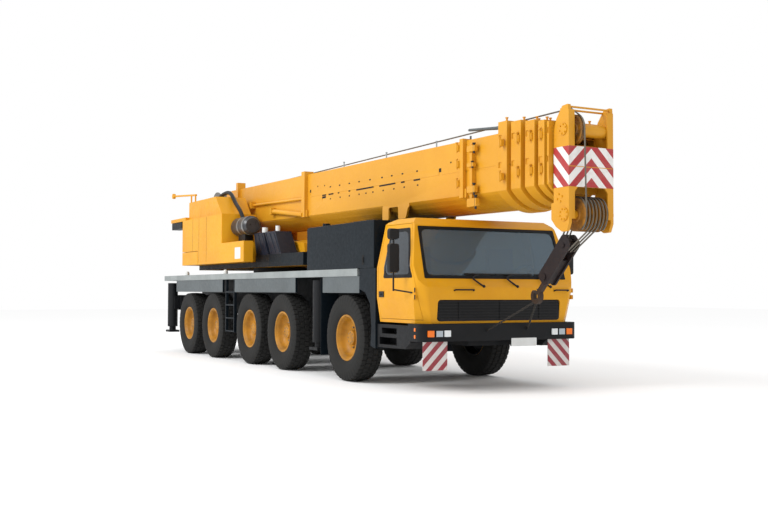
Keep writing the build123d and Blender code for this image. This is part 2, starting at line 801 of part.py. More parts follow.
# Engine housing on the right: tall rear box, stepped front, sloped upper box
locker_top = 2410
rear_arm_z = 3640
rear_arm_y = -1250
rear_plate_low = 3022
with BuildPart() as engine_housing:
    from_side(
        ((ahead(-7380), platform_top + seat_gap), (ahead(-7380), 2300 + seat_gap), (ahead(-8500), 2300 + seat_gap),
         (ahead(-8500), 3030), (ahead(-5800), 3030), (ahead(-5800), locker_top), (ahead(-5000), locker_top),
         (ahead(-5000), platform_top + seat_gap)),
        (-half_width, -620),
    )
    block((ahead(-5010), ahead(-4500)), (-half_width, -1180), (platform_top + seat_gap, locker_top))
    from_side(((ahead(-8300), 3030), (ahead(-8300), 3440), (ahead(-6450), 3440), (ahead(-6050), 3030)),
              (-half_width + 90, -620))
    block((ahead(-9420), ahead(-8295)), (-half_width, -1130), (rear_plate_low, rear_plate_low + 78))
    rod((ahead(-9650), rear_arm_y, rear_arm_z + 60), (ahead(-7900), rear_arm_y, rear_arm_z - 50), 22)
    for x in (-7950, -8250):
        rod((ahead(x), rear_arm_y, 3400), (ahead(x), rear_arm_y, rear_arm_z - 30), 18)
    rod((ahead(-9610), rear_arm_y - 35, rear_arm_z + 57), (ahead(-9610), rear_arm_y + 25, rear_arm_z + 57), 62)
save(engine_housing, "engine_housing")

# Fittings round the housing: air cleaner with its hose, two leaning covers with filler caps, rear lamp box
cleaner_y = -1000
cleaner_z = 2750
cleaner_radius = 195
cleaner_ends = (-5742, -5040)
cover_outlines = (
    ((-4970, 2580), (-4470, 2580), (-4180, front_box_top), (-4830, front_box_top)),
    ((-4380, 2580), (-3850, 2580), (-3530, front_box_top), (-4080, front_box_top)),
)
cap_places = ((-4560, 60), (-3900, 44))
hose_route = ((-7300, -900, 3500), (-6950, -905, 3560), (-6480, -930, 3510), (-6120, -960, 3295),
              (-5800, -985, 3125), (-5500, -1000, 2870))
hose_radius = 42
with BuildPart() as housing_fittings:
    rod((ahead(cleaner_ends[0]), cleaner_y, cleaner_z), (ahead(cleaner_ends[1]), cleaner_y, cleaner_z), cleaner_radius)
    for end, way in ((cleaner_ends[0], -1), (cleaner_ends[1], 1)):
        with BuildSketch(Plane(origin=(ahead(end), cleaner_y, cleaner_z), z_dir=(way, 0, 0))):
            Circle(cleaner_radius - 6)
        extrude(amount=55, taper=38)
    block((ahead(-5560), ahead(-5180)), (cleaner_y - 90, cleaner_y + 90), (locker_top + seat_gap, cleaner_z - 120))
    with BuildLine() as hose_line:
        Spline(*[(ahead(x), y, z) for x, y, z in hose_route])
    with BuildSketch(Plane(origin=hose_line.line @ 0, z_dir=hose_line.line % 0)):
        Circle(hose_radius)
    sweep()
    rod((ahead(hose_route[0][0]), hose_route[0][1], 3440 + seat_gap),
        (ahead(hose_route[0][0]), hose_route[0][1], 3520), hose_radius + 24)
    for outline in cover_outlines:
        from_side([(ahead(x), z + seat_gap) for x, z in outline], (-980, -640))
    for x, radius in cap_places:
        rod((ahead(x), -900, 2570), (ahead(x), -900, 2685), radius)
    block((ahead(-9400), ahead(-8630)), (-1355, -1150), (2860, rear_plate_low - seat_gap))
save(housing_fittings, "housing_fittings")

# Winch drum between the rear cheeks
with BuildPart() as winch:
    rod((ahead(winch_x), -drum_half_width, winch_z), (ahead(winch_x), drum_half_width, winch_z), drum_radius)
    for side in (-1, 1):
        rod((ahead(winch_x), side * drum_half_width, winch_z),
            (ahead(winch_x), side * (stand_inner - seat_gap), winch_z), flange_radius)
save(winch, "winch")


# Upper cab on the left
upper_cab_outline = (
    (ahead(-5450), platform_top + seat_gap),
    (ahead(-5450), 3470),
    (ahead(-4150), 3470),
    (ahead(-3850), 2700),
    (ahead(-3850), 2200),
    (ahead(-4000), platform_top + seat_gap),
)
upper_cab_inner = (
    (ahead(-5410), 2040),
    (ahead(-5410), 3430),
    (ahead(-4178), 3430),
    (ahead(-3890), 2692),
    (ahead(-3890), 2212),
    (ahead(-4018), 2040),
)
with BuildPart() as upper_cab:
    from_side(upper_cab_outline, (610, half_width - 40))
    from_side(upper_cab_inner, (650, half_width - 80), mode=Mode.SUBTRACT)
    from_side(((ahead(-5300), 2700), (ahead(-5300), 3380), (ahead(-4230), 3380), (ahead(-3980), 2700)), (600, 660),
              radius=40, mode=Mode.SUBTRACT)
    block((ahead(-4600), ahead(-3800)), (700, half_width - 130), (2660, 3330), mode=Mode.SUBTRACT)
    block((ahead(-5330), ahead(-4560)), (half_width - 90, half_width), (2080, 3380), mode=Mode.SUBTRACT)
save(upper_cab, "upper_cab")

with BuildPart() as upper_cab_door:
    block((ahead(-5390), ahead(-4500)), (half_width - 34, half_width - 4), (2060, 3400))
    block((ahead(-5380), ahead(-4520)), (half_width - 40 + seat_gap, half_width - 30), (3382, 3400))
    block((ahead(-5290), ahead(-4600)), (half_width - 40, half_width), (2650, 3320), mode=Mode.SUBTRACT)
save(upper_cab_door, "upper_cab_door")


# Boom: sections nest in each other, each a U-shaped tube with a collar at its mouth
slope = radians(boom_slope)
along = Vector(cos(slope), 0, -sin(slope))


def boom_plane(distance):
    """The plane across the boom at a distance ahead of the first axle, its origin on the boom's top."""
    run = (distance - boom_top_x) / cos(slope)
    return Plane(
        origin=(ahead(boom_top_x) + run * along.X, 0, boom_top_z + run * along.Z),
        x_dir=(0, 1, 0),
        z_dir=along,
    )


def boom_outline(half, top, radius, mode=Mode.ADD):
    """Flat top and sides with a round bottom; the bottom's centre is shared by all sections."""
    centre = boom_bottom_radius - boom_depth
    side_end = centre - sqrt(radius ** 2 - half ** 2)
    with BuildLine() as loop:
        Polyline((-half, side_end), (-half, top), (half, top), (half, side_end))
        ThreePointArc((half, side_end), (0, centre - radius), (-half, side_end))
    make_face(loop.edges(), mode=mode)


def boom_tube(rear, front, inset):
    """A tube of the boom between two stations."""
    length = (front - rear) / cos(slope)
    with BuildSketch(boom_plane(rear)) as face:
        boom_outline(boom_half_width - inset, -inset, boom_bottom_radius - inset)
    extrude(face.sketch, amount=length)
    with BuildSketch(boom_plane(rear)) as face:
        deeper = inset + boom_wall
        boom_outline(boom_half_width - deeper, -deeper, boom_bottom_radius - deeper)
    extrude(face.sketch, amount=length, mode=Mode.SUBTRACT)


def boom_collar(rear, front, number):
    """The thick frame round a section's mouth."""
    less = collar_step * number
    inset = section_step * number
    length = (front - rear) / cos(slope)
    with BuildSketch(boom_plane(rear)) as face:
        boom_outline(collar_half_width - less, collar_top - less, collar_bottom_radius - less)
    extrude(face.sketch, amount=length)
    with BuildSketch(boom_plane(rear)) as face:
        deeper = inset + boom_wall
        boom_outline(boom_half_width - deeper, -deeper, boom_bottom_radius - deeper)
    extrude(face.sketch, amount=length, mode=Mode.SUBTRACT)


seam_depth = 450
seam_half = 14


def wear_pad(front, number):
    """A block low in a section's mouth that the next section slides on."""
    bite = section_step * number + boom_wall - 2
    slide = section_step * (number + 1) - seat_gap
    with BuildSketch(boom_plane(front - 190)) as pad:
        boom_outline(boom_half_width - bite, -bite, boom_bottom_radius - bite)
        boom_outline(boom_half_width - slide, -slide, boom_bottom_radius - slide, mode=Mode.SUBTRACT)
        with Locations((0, 60 - boom_depth)):
            Rectangle(260, 200, mode=Mode.INTERSECT)
    extrude(pad.sketch, amount=160)


def collar_pockets(rear, front, number):
    """Cuts the bolt pockets in a collar's two cheeks: one near its top, one at the seam."""
    half = collar_half_width - collar_step * number
    reach = min(70, (front - rear) * 0.55)
    for side in (-1, 1):
        for depth in (40, seam_depth - 40):
            with BuildSketch(boom_plane(rear + 12)) as pocket:
                with Locations((side * (half - 6), -depth - 40)):
                    Rectangle(16, 76)
            extrude(pocket.sketch, amount=reach, mode=Mode.SUBTRACT)


post_top = boom_underside + 200
arch_top = boom_underside + 160
rest_posts = (
    (ahead(-410), post_top),
    (ahead(-410), rest_foot_z),
    (ahead(-200), rest_foot_z),
    (ahead(-200), arch_top),
    (ahead(125), arch_top),
    (ahead(125), rest_foot_z),
    (ahead(370), rest_foot_z),
    (ahead(440), arch_top - 45),
    (ahead(600), post_top),
)
# Side brackets: place along the boom, top above the boom's top, bottom below it, width, how far they stand out
brackets = (
    (-7200, 140, 430, 110, 62),
    (-3525, 60, 820, 150, 70),
    (2100, 25, 830, 90, 60),
)
# Slots in the near side: place, depth, length, height
slot_places = ((1420, 335, 70, 120), (-2710, 470, 170, 75), (-3320, 305, 55, 110))
strut_y = -boom_half_width - 42
# Rods on the near side: radius, rear end and front end as place and depth below the boom's top
side_rods = (
    (26, (-6250, 425), (-3560, 460)),
    (52, (-5110, 620), (-3560, 770)),
)


def below_top(distance, depth):
    """The height of a point this far below the boom's sloping top."""
    return boom_top_z - (distance - boom_top_x) * sin(slope) - depth


with BuildPart() as boom_base:
    rear, collar_rear, collar_front = boom_sections[0]
    boom_tube(rear, collar_front, 0)
    boom_collar(collar_rear, collar_front, 0)
    for side in (-1, 1):
        rod((ahead(foot_pin_x), side * (boom_half_width - 5), foot_pin_z),
            (ahead(foot_pin_x), side * (cheek_inner + cheek_thickness + 20), foot_pin_z), foot_pin_radius)
        from_side(rest_posts, sorted((side * (boom_half_width - 30), side * boom_half_width)), radius=38)
        lug = sorted((side * (eye_half_width + seat_gap), side * (eye_half_width + seat_gap + lug_thickness)))
        from_side(((ahead(rod_eye_x - 330), boom_underside + 50), (ahead(rod_eye_x - 110), rod_eye_z - 100),
                   (ahead(rod_eye_x + 110), rod_eye_z - 100), (ahead(rod_eye_x + 330), boom_underside + 50)), lug)
        for place, above, below, width, stand in brackets:
            edges = (ahead(place) - width / 2, ahead(place) + width / 2)
            foot = below_top(place, below)
            head = below_top(place, -above)
            block(edges, sorted((side * (boom_half_width - 6), side * (boom_half_width + stand))), (foot, head))
            block(edges, sorted((side * (boom_half_width - 120), side * (boom_half_width + stand))),
                  (below_top(place, 0) - 6, head))
            block((edges[0] - 45, edges[1] + 45), sorted((side * (boom_half_width - 6), side * (boom_half_width
                  + stand - 26))), (foot, foot + 130))
        with BuildSketch(boom_plane(-3300)) as seam:
            with Locations((side * (boom_half_width + 3), -seam_depth)):
                Rectangle(14, 2 * seam_half)
        extrude(seam.sketch, amount=3035 + 3300)
    for radius, (start_x, start_depth), (end_x, end_depth) in side_rods:
        rod((ahead(start_x), strut_y, below_top(start_x, start_depth)),
            (ahead(end_x), strut_y, below_top(end_x, end_depth)), radius)
        x, depth = start_x, start_depth
        block((ahead(x) - 60, ahead(x) + 60), (strut_y - 62, -boom_half_width + 6),
              (below_top(x, depth + 70), below_top(x, depth - 70)))
    for place, depth, length, height in slot_places:
        block((ahead(place) - length / 2, ahead(place) + length / 2), (-boom_half_width - 20, -boom_half_width + 5),
              (below_top(place, depth + height), below_top(place, depth)), mode=Mode.SUBTRACT)
    with BuildSketch(boom_plane(rear)):
        deeper = boom_wall
        boom_outline(boom_half_width - deeper, -deeper, boom_bottom_radius - deeper)
    extrude(amount=(boom_sections[1][2] - rear), mode=Mode.SUBTRACT)
    collar_pockets(collar_rear, collar_front, 0)
    wear_pad(collar_front, 0)
save(boom_base, "boom_base")

for number in range(1, 5):
    rear, collar_rear, collar_front = boom_sections[number]
    with BuildPart() as section:
        boom_tube(rear, collar_front, section_step * number)
        boom_collar(collar_rear, collar_front, number)
        collar_pockets(collar_rear, collar_front, number)
        wear_pad(collar_front, number)
    save(section, f"boom_section_{number}")

# Head section: the last tube with the two plates that hold the sheaves
guard_bars = ((4305, top_sheave_z + 280), (4180, top_sheave_z + 262), (4010, sheave_z - 20))
last = len(boom_sections) - 1
head_outline = (
    (ahead(head_rear - 50), sheave_z + 155),
    (ahead(head_rear - 50), sheave_z - 55),
    (ahead(head_rear + 45), sheave_z - 155),
    (ahead(sheave_x - 45), sheave_z - 220),
    (ahead(sheave_x + 55), sheave_z - 215),
    (ahead(head_front), sheave_z - 110),
    (ahead(head_front), top_sheave_z + 110),
    (ahead(head_front - 15), top_sheave_z + 310),
    (ahead(top_sheave_x - 20), top_sheave_z + 300),
    (ahead(head_rear + 60), top_sheave_z + 150),
    (ahead(head_rear), top_sheave_z),
    (ahead(head_rear), sheave_z + 155),
)
board_low = sheave_z + 345
board_high = sheave_z + 865
flange_inner = head_half_width - 95
flange_top = top_sheave_z + 240
flange_foot = sheave_z - 60
front_plate = mirrored((
    (flange_inner - 50, board_low),
    (flange_inner, board_low - 60),
    (flange_inner, flange_foot),
    (head_half_width, flange_foot),
    (head_half_width, flange_top),
    (flange_inner, flange_top),
    (flange_inner, board_high),
))
with BuildPart() as boom_head:
    boom_tube(boom_sections[last][0], head_rear + 10, section_step * last)
    for side in (-1, 1):
        plate = sorted((side * head_half_width, side * (head_half_width - head_plate)))
        from_side(head_outline, plate, radius=12)
    block((ahead(head_rear), ahead(head_rear + 40)), (-head_half_width + 2, head_half_width - 2),
          (board_low - 60, board_high + 60))
    from_front(front_plate, (ahead(head_front - head_wall), ahead(head_front)))
    block((ahead(head_rear + 200), ahead(head_front - 5)), (-head_half_width + 2, head_half_width - 2),
          (board_high - 20, board_high))
    for side in (-1, 1):
        rod((ahead(sheave_x), side * (head_half_width - 5), sheave_z), (ahead(sheave_x), side * (head_half_width + 14),
            sheave_z), sheave_axle_radius + 32)
        rod((ahead(top_sheave_x), side * (head_half_width - 5), top_sheave_z),
            (ahead(top_sheave_x), side * (head_half_width + 12), top_sheave_z), sheave_axle_radius + 24)
    rod((ahead(sheave_x), -head_half_width, sheave_z), (ahead(sheave_x), head_half_width, sheave_z),
        sheave_axle_radius)
    rod((ahead(top_sheave_x), -head_half_width, top_sheave_z), (ahead(top_sheave_x), head_half_width, top_sheave_z),
        sheave_axle_radius)
    rod((ahead(top_sheave_x), top_sheave_y + top_sheave_half + seat_gap, top_sheave_z),
        (ahead(top_sheave_x), head_half_width - 5, top_sheave_z), sheave_axle_radius + 30)
    for x, z in guard_bars:
        rod((ahead(x), -head_half_width + 3, z), (ahead(x), head_half_width - 3, z), 13)
save(boom_head, "boom_head")

with BuildPart() as head_sheaves:
    first = -(sheave_count - 1) / 2 * sheave_pitch
    for index in range(sheave_count):
        middle = first + index * sheave_pitch
        edges = (middle - sheave_width / 2, middle + sheave_width / 2)
        rod((ahead(sheave_x), edges[0], sheave_z), (ahead(sheave_x), edges[1], sheave_z), sheave_radius)
    rod((ahead(top_sheave_x), top_sheave_y - top_sheave_half, top_sheave_z),
        (ahead(top_sheave_x), top_sheave_y + top_sheave_half, top_sheave_z), top_sheave_radius)
    rod((ahead(sheave_x), -head_half_width, sheave_z), (ahead(sheave_x), head_half_width, sheave_z),
        sheave_axle_radius + seat_gap, mode=Mode.SUBTRACT)
    rod((ahead(top_sheave_x), -head_half_width, top_sheave_z), (ahead(top_sheave_x), head_half_width,
        top_sheave_z), sheave_axle_radius + seat_gap, mode=Mode.SUBTRACT)
save(head_sheaves, "head_sheaves")


# Luffing cylinder: barrel on the platform, rod to the boom's lugs
cylinder_run = Vector(rod_eye_x - cylinder_pin_x, 0, rod_eye_z - cylinder_pin_z)
cylinder_way = cylinder_run.normalized()


def on_cylinder(distance):
    """A point on the cylinder's centre line, measured from its base pin."""
    return (ahead(cylinder_pin_x) + distance * cylinder_way.X, 0, cylinder_pin_z + distance * cylinder_way.Z)


with BuildPart() as luff_barrel:
    rod(on_cylinder(260), on_cylinder(barrel_length), barrel_radius)
    rod((ahead(cylinder_pin_x), -eye_half_width, cylinder_pin_z), (ahead(cylinder_pin_x), eye_half_width,
        cylinder_pin_z), eye_radius)
    rod(on_cylinder(0), on_cylinder(300), 80)
    rod(on_cylinder(420), on_cylinder(barrel_length + 1), rod_radius + seat_gap, mode=Mode.SUBTRACT)
save(luff_barrel, "luff_barrel")

with BuildPart() as luff_rod:
    rod(on_cylinder(450), on_cylinder(cylinder_run.length - 60), rod_radius)
    rod((ahead(rod_eye_x), -eye_half_width, rod_eye_z), (ahead(rod_eye_x), eye_half_width, rod_eye_z), eye_radius)
save(luff_rod, "luff_rod")


# Hook block: cheek plates round its sheaves, crosshead and hook, drawn along the lashed ropes
lash = radians(lash_angle)
block_way = Vector(-sin(lash), 0, -cos(lash))
block_across = Vector(cos(lash), 0, -sin(lash))


def on_block(distance, across=0.0, y=0.0):
    """A point in the hook block's own frame, measured from the lower sheave axle."""
    point = block_way * distance + block_across * across
    return (ahead(sheave_x) + point.X, y, sheave_z + point.Z)


block_plane = Plane(origin=on_block(0), x_dir=block_way, z_dir=(0, -1, 0))
fall_reach = sheave_radius + rope_radius + seat_gap
block_axle = block_start + 130
fall_lean = asin((fall_reach - block_sheave_radius) / block_axle)
with BuildPart() as hook_block:
    for side in (-1, 1):
        with BuildSketch(block_plane.offset(side * (block_width / 2 - block_cheek / 2) - block_cheek / 2)):
            with Locations((block_start + block_length / 2, 0)):
                RectangleRounded(block_length, 2 * block_half_depth, 70)
        extrude(amount=block_cheek)
    for distance, radius in ((block_axle, 34), (block_start + block_length - 90, 48)):
        with BuildSketch(block_plane.offset(-block_width / 2 - 14)):
            with Locations((distance, 0)):
                Circle(radius)
        extrude(amount=block_width + 28)
    for y in (-sheave_pitch, 0, sheave_pitch):
        with BuildSketch(block_plane.offset(-y - 15)):
            with Locations((block_axle, 0)):
                Circle(block_sheave_radius)
        extrude(amount=30)
    with BuildSketch(block_plane.offset(-block_width / 2 + 5)):
        with Locations((block_start + 330 + (block_length - 330) / 2 - 20, 0)):
            Rectangle(block_length - 370, 2 * block_half_depth - 60)
    extrude(amount=block_width - 10)
    with BuildSketch(block_plane.offset(-hook_thickness / 2)):
        with Locations((hook_eye, 0)):
            Circle(hook_radius)
            Circle(hook_bowl_radius, mode=Mode.SUBTRACT)
        with Locations((hook_eye - hook_bowl_radius, -hook_radius * 0.75)):
            Rectangle(1.5 * hook_bowl_radius, hook_radius, mode=Mode.SUBTRACT)
        with Locations(((block_start + block_length - 60 + hook_eye - hook_bowl_radius - 14) / 2, 0)):
            Rectangle(hook_eye - hook_bowl_radius - 14 - block_start - block_length + 60, 66)
    extrude(amount=hook_thickness)
    for y in (-sheave_pitch, 0, sheave_pitch):
        for across in (-1, 1):
            rod(on_block(fall_reach * sin(fall_lean), across * fall_reach * cos(fall_lean), y),
                on_block(block_axle + block_sheave_radius * sin(fall_lean),
                         across * block_sheave_radius * cos(fall_lean), y), rope_radius)
save(hook_block, "hook_block")

print("axles", [round(x) for x in axle_x])
print("slew", ahead(slew_x), "foot pin", ahead(foot_pin_x), round(foot_pin_z, 1))
print("cylinder length", round(cylinder_run.length, 1))
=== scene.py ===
# %% [markdown]
# # A mobile crane on five axles
#
# The CAD gives the frame: where every piece is, how big it is and how it moves. This lesson dresses
# that frame for the camera. We load it first.

import json
from functools import partial
from math import radians

import bmesh
import bpy
import numpy as np
from mathutils import Matrix, Vector


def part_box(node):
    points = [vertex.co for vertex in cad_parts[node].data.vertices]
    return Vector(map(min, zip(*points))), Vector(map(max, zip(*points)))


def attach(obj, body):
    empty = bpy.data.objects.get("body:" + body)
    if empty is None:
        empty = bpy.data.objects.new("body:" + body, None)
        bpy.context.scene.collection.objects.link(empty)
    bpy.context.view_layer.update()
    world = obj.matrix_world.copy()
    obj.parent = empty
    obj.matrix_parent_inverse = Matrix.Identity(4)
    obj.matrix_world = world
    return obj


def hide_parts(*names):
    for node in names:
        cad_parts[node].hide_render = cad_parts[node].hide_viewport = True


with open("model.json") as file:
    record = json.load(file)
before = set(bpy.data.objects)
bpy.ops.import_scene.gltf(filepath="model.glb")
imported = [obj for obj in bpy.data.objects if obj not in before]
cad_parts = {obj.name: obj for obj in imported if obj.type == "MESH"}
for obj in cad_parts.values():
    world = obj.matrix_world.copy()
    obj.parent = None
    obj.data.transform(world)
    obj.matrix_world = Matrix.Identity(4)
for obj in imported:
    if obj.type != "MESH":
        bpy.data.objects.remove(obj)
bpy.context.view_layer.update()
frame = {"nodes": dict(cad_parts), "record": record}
wheel_low, wheel_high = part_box("wheel_1_right")
FIRST_AXLE = (wheel_low[0] + wheel_high[0]) / 2
HALF_WIDTH = -wheel_low[1]
SIDES = ((-1, "right"), (1, "left"))
print("nodes", len(frame["nodes"]), "first axle at x", round(FIRST_AXLE, 4))

# %% [markdown]
# ## The camera
#
# The photograph was matched with a plain pinhole camera: its place is given ahead of the first axle,
# with a heading, a small upward pitch and almost no roll. The three unit vectors below are the
# camera's right, up and backward directions, and they become the columns of its matrix.

# %% Camera
CAMERA_PLACE = (14.5407, -8.507, 1.4261)
HEADING, PITCH, ROLL = 0.4949, 0.0341, 0.0029
SENSOR_MM, FOCAL_MM, FAR_END = 36, 47.95, 300


def from_axle(points):
    """Moves points given ahead of the first axle to the frame's own x."""
    return np.array(points, float) + (FIRST_AXLE, 0, 0)


def stand(name, data):
    """Puts an object with this data into the scene."""
    made = bpy.data.objects.new(name, data)
    bpy.context.scene.collection.objects.link(made)
    return made


ahead = np.array([-np.cos(HEADING) * np.cos(PITCH), np.sin(HEADING) * np.cos(PITCH), np.sin(PITCH)])
right = np.cross(ahead, (0, 0, 1))
right /= np.linalg.norm(right)
up = np.cross(right, ahead)
right, up = (np.cos(ROLL) * right + np.sin(ROLL) * up, np.cos(ROLL) * up - np.sin(ROLL) * right)
camera = stand("camera", bpy.data.cameras.new("camera"))
camera.data.sensor_width = SENSOR_MM
camera.data.lens = FOCAL_MM
camera.data.clip_end = FAR_END
matrix = Matrix(np.column_stack([right, up, -ahead]).tolist()).to_4x4()
matrix.translation = from_axle(CAMERA_PLACE).tolist()
camera.matrix_world = matrix
bpy.context.scene.camera = camera
print("camera at", tuple(round(c, 3) for c in matrix.translation))

# %% [markdown]
# ## Meshes from numpy
#
# Every new piece is a surface worked out as arrays: a list of points and a list of faces. Three forms
# make nearly all of a crane: something turned about an axis, a bar carried along a path, and a plate
# cut to an outline. Small shapes of one finish are joined into one mesh. Their places are in metres
# ahead of the first axle, to the left and up, and `piece` moves them to the frame.


# %% Grids, turned shapes and bars
def grid_faces(rows, columns, close_rows=False, close_columns=False):
    """Quads between neighbouring points of a rows x columns grid; a closed direction wraps round."""
    r = np.arange(rows if close_rows else rows - 1)
    c = np.arange(columns if close_columns else columns - 1)
    a, b = np.meshgrid(r, c, indexing="ij")
    a2, b2 = (a + 1) % rows, (b + 1) % columns
    quads = np.stack([a * columns + b, a * columns + b2, a2 * columns + b2, a2 * columns + b], axis=-1)
    return quads.reshape(-1, 4).tolist()


def turned(profile, centre, axis, sides=48):
    """Turns (along, radius) pairs about an axis: point = centre + along * axis + radius * (cos a, sin a).

    A radius of 0 at either end closes it with a pole, and a profile that ends where it starts is a ring.
    """
    axis = np.array(axis, float) / np.linalg.norm(axis)
    other = np.cross(axis, (0, 0, 1) if abs(axis[2]) < 0.9 else (1, 0, 0))
    other /= np.linalg.norm(other)
    third = np.cross(axis, other)
    profile = np.array(profile, float)
    poles = [profile[0, 1] == 0, profile[-1, 1] == 0]
    body = profile[int(poles[0]):len(profile) - int(poles[1])]
    angle = np.linspace(0, 2 * np.pi, sides, endpoint=False)
    ring = np.cos(angle)[:, None] * other + np.sin(angle)[:, None] * third
    points = np.array(centre) + body[:, 0, None, None] * axis + body[:, 1, None, None] * ring[None]
    closed = np.allclose(profile[0], profile[-1])
    if closed:
        points = points[:-1]
    faces = grid_faces(len(points), sides, close_rows=closed, close_columns=True)
    last_ring = (len(points) - 1) * sides
    points = points.reshape(-1, 3)
    around = np.arange(sides)
    after = (around + 1) % sides
    for end, start in ((0, 0), (-1, last_ring)):
        if poles[end]:
            points = np.vstack([points, np.array(centre) + profile[end, 0] * axis])
            pole = np.full(sides, len(points) - 1)
            faces += np.stack([start + around, start + after, pole], 1).tolist()
        elif not closed:
            faces.append((start + around).tolist())
    return points, faces


def bar(path, radius, sides=10, reference=None):
    """A round bar along a path: at each point a ring of that radius lies across the path's direction.

    The ring's first axis is across the path and the reference direction, upright unless it is given.
    """
    path = np.array(path, float)
    way = np.gradient(path, axis=0)
    way /= np.linalg.norm(way, axis=1)[:, None]
    if reference is None:
        mean = path[-1] - path[0]
        reference = (0, 0, 1.0) if abs(mean[2]) < 0.8 * np.linalg.norm(mean) + 1e-9 else (0, 1.0, 0)
    across = np.cross(way, reference)
    across /= np.linalg.norm(across, axis=1)[:, None]
    over = np.cross(across, way)
    angle = np.linspace(0, 2 * np.pi, sides, endpoint=False)[None, :, None]
    radius = np.broadcast_to(np.array(radius, float), (len(path),))[:, None, None]
    points = path[:, None] + radius * (np.cos(angle) * across[:, None] + np.sin(angle) * over[:, None])
    points = points.reshape(-1, 3)
    faces = grid_faces(len(path), sides, close_columns=True)
    faces += [list(range(sides)), list(range(len(points) - sides, len(points)))]
    return points, faces


# %% Outlines and plates
def rounded_box(centre, size, radius, steps=5):
    """Outline of a rectangle whose corners are quarter circles."""
    turn = np.linspace(0, np.pi / 2, steps)
    corners = []
    for quarter, (sx, sy) in enumerate(((1, 1), (-1, 1), (-1, -1), (1, -1))):
        middle = np.array(centre) + (sx * (size[0] / 2 - radius), sy * (size[1] / 2 - radius))
        angle = turn + quarter * np.pi / 2
        corners.append(middle + radius * np.column_stack([np.cos(angle), np.sin(angle)]))
    return np.vstack(corners)


def rounded(corners, radius, steps=7, closed=True):
    """Rounds each corner by the curve (1 - t)^2 start + 2 t (1 - t) corner + t^2 stop.

    Start and stop lie on the corner's two edges, radius away, or just under half an edge if that is less.
    """
    corners = np.array(corners, float)
    ways = np.stack([np.roll(corners, step, axis=0) - corners for step in (1, -1)])
    lengths = np.linalg.norm(ways, axis=2)[..., None]
    start, stop = corners + ways / lengths * np.minimum(radius, 0.49 * lengths.min(axis=0))
    t = np.linspace(0, 1, steps)[None, :, None]
    arcs = (1 - t) ** 2 * start[:, None] + 2 * t * (1 - t) * corners[:, None] + t ** 2 * stop[:, None]
    if closed:
        return arcs.reshape(-1, corners.shape[1])
    return np.vstack([corners[:1], *arcs[1:-1], corners[-1:]])


def shrunk(corners, inset):
    """The outline with every edge moved inwards: a corner moves along the sum of its edges' normals."""
    corners = np.array(corners, float)
    after = np.roll(corners, -1, axis=0)
    edge = after - corners
    turn = np.sign(np.sum(corners[:, 0] * after[:, 1] - after[:, 0] * corners[:, 1]))
    normal = turn * np.column_stack([-edge[:, 1], edge[:, 0]]) / np.linalg.norm(edge, axis=1)[:, None]
    meet = normal + np.roll(normal, 1, axis=0)
    return corners + meet / np.sum(meet * normal, axis=1)[:, None] * inset


def plate(outline, across, start, stop, bevel=0.003):
    """A plate: an outline drawn in the plane across an axis, carried from start to stop along it.

    Its two faces are drawn in by the bevel, so that the edges catch the light.
    """
    outline = np.array(outline, float)
    inner = shrunk(outline, bevel)
    low, high = min(start, stop), max(start, stop)
    levels = ((low, inner), (low + bevel, outline), (high - bevel, outline), (high, inner))
    order = {"x": (2, 0, 1), "y": (0, 2, 1), "z": (0, 1, 2)}[across]
    points = np.vstack([np.insert(loop, 2, level, axis=1)[:, order] for level, loop in levels])
    count = len(outline)
    ends = [list(range(count)), list(range(3 * count, 4 * count))]
    return points, grid_faces(4, count, close_columns=True) + ends


def brick(x, y, z, bevel=0.004):
    """A plate whose outline is a rectangle: a bar or box with chamfered edges."""
    (x0, x1), (y0, y1) = sorted(x), sorted(y)
    return plate(((x0, y0), (x1, y0), (x1, y1), (x0, y1)), "z", z[0], z[1], bevel)


# %% Repeats, rings of nuts and finished pieces
def at_each(shape, places):
    """Repeats one shape at each place, as one shape."""
    points, faces = shape
    every = (points[None] + np.array(places, float)[:, None]).reshape(-1, 3)
    return every, [[corner + index * len(points) for corner in face]
                   for index in range(len(places)) for face in faces]


def ring_of_nuts(centre, side, circle, count, size, seat=0.0, shoulder=0.011, top=0.014, turn=0.3):
    """Hexagon nuts standing out along y at angles of 360 / count degrees on a circle round the centre."""
    profile = np.array([(-0.004, size), (shoulder, size), (top, size * 0.7), (top, 0)]) + (seat, 0)
    angle = np.arange(count) / count * 2 * np.pi + turn
    places = centre + circle * np.column_stack([np.cos(angle), 0 * angle, np.sin(angle)])
    return at_each(turned(profile * (side, 1), (0, 0, 0), (0, 1, 0), 6), places)


def piece(name, shapes, material, body, replaces=(), smooth=35):
    """Joins shapes given ahead of the first axle into one mesh, faces outwards, that rides on a body."""
    points, faces, count = [], [], 0
    for shape_points, shape_faces in shapes:
        points.append(shape_points)
        faces += [[corner + count for corner in face] for face in shape_faces]
        count += len(shape_points)
    mesh = bpy.data.meshes.new(name)
    mesh.from_pydata(from_axle(np.vstack(points)).tolist(), [], faces)
    tidy = bmesh.new()
    tidy.from_mesh(mesh)
    bmesh.ops.remove_doubles(tidy, verts=tidy.verts, dist=1e-6)
    bmesh.ops.recalc_face_normals(tidy, faces=tidy.faces)
    tidy.to_mesh(mesh)
    tidy.free()
    made = stand(name, mesh)
    mesh.materials.append(material)
    if smooth:
        mesh.shade_smooth()
        mesh.set_sharp_from_angle(angle=radians(smooth))
    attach(made, body)
    if replaces:
        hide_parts(*replaces)
    return made


# %% [markdown]
# ## Finishes
#
# A crane is mostly enamel over steel: a smooth two-pack paint with a low sheen, dulled by dust that
# settles on flat tops and in the lee of edges. Each finish below names a real material, starts from
# its usual roughness and IOR, and gets its variation from noise read in object coordinates, with the
# scale worked out from a size in millimetres. Colours are sRGB hex values turned to linear.


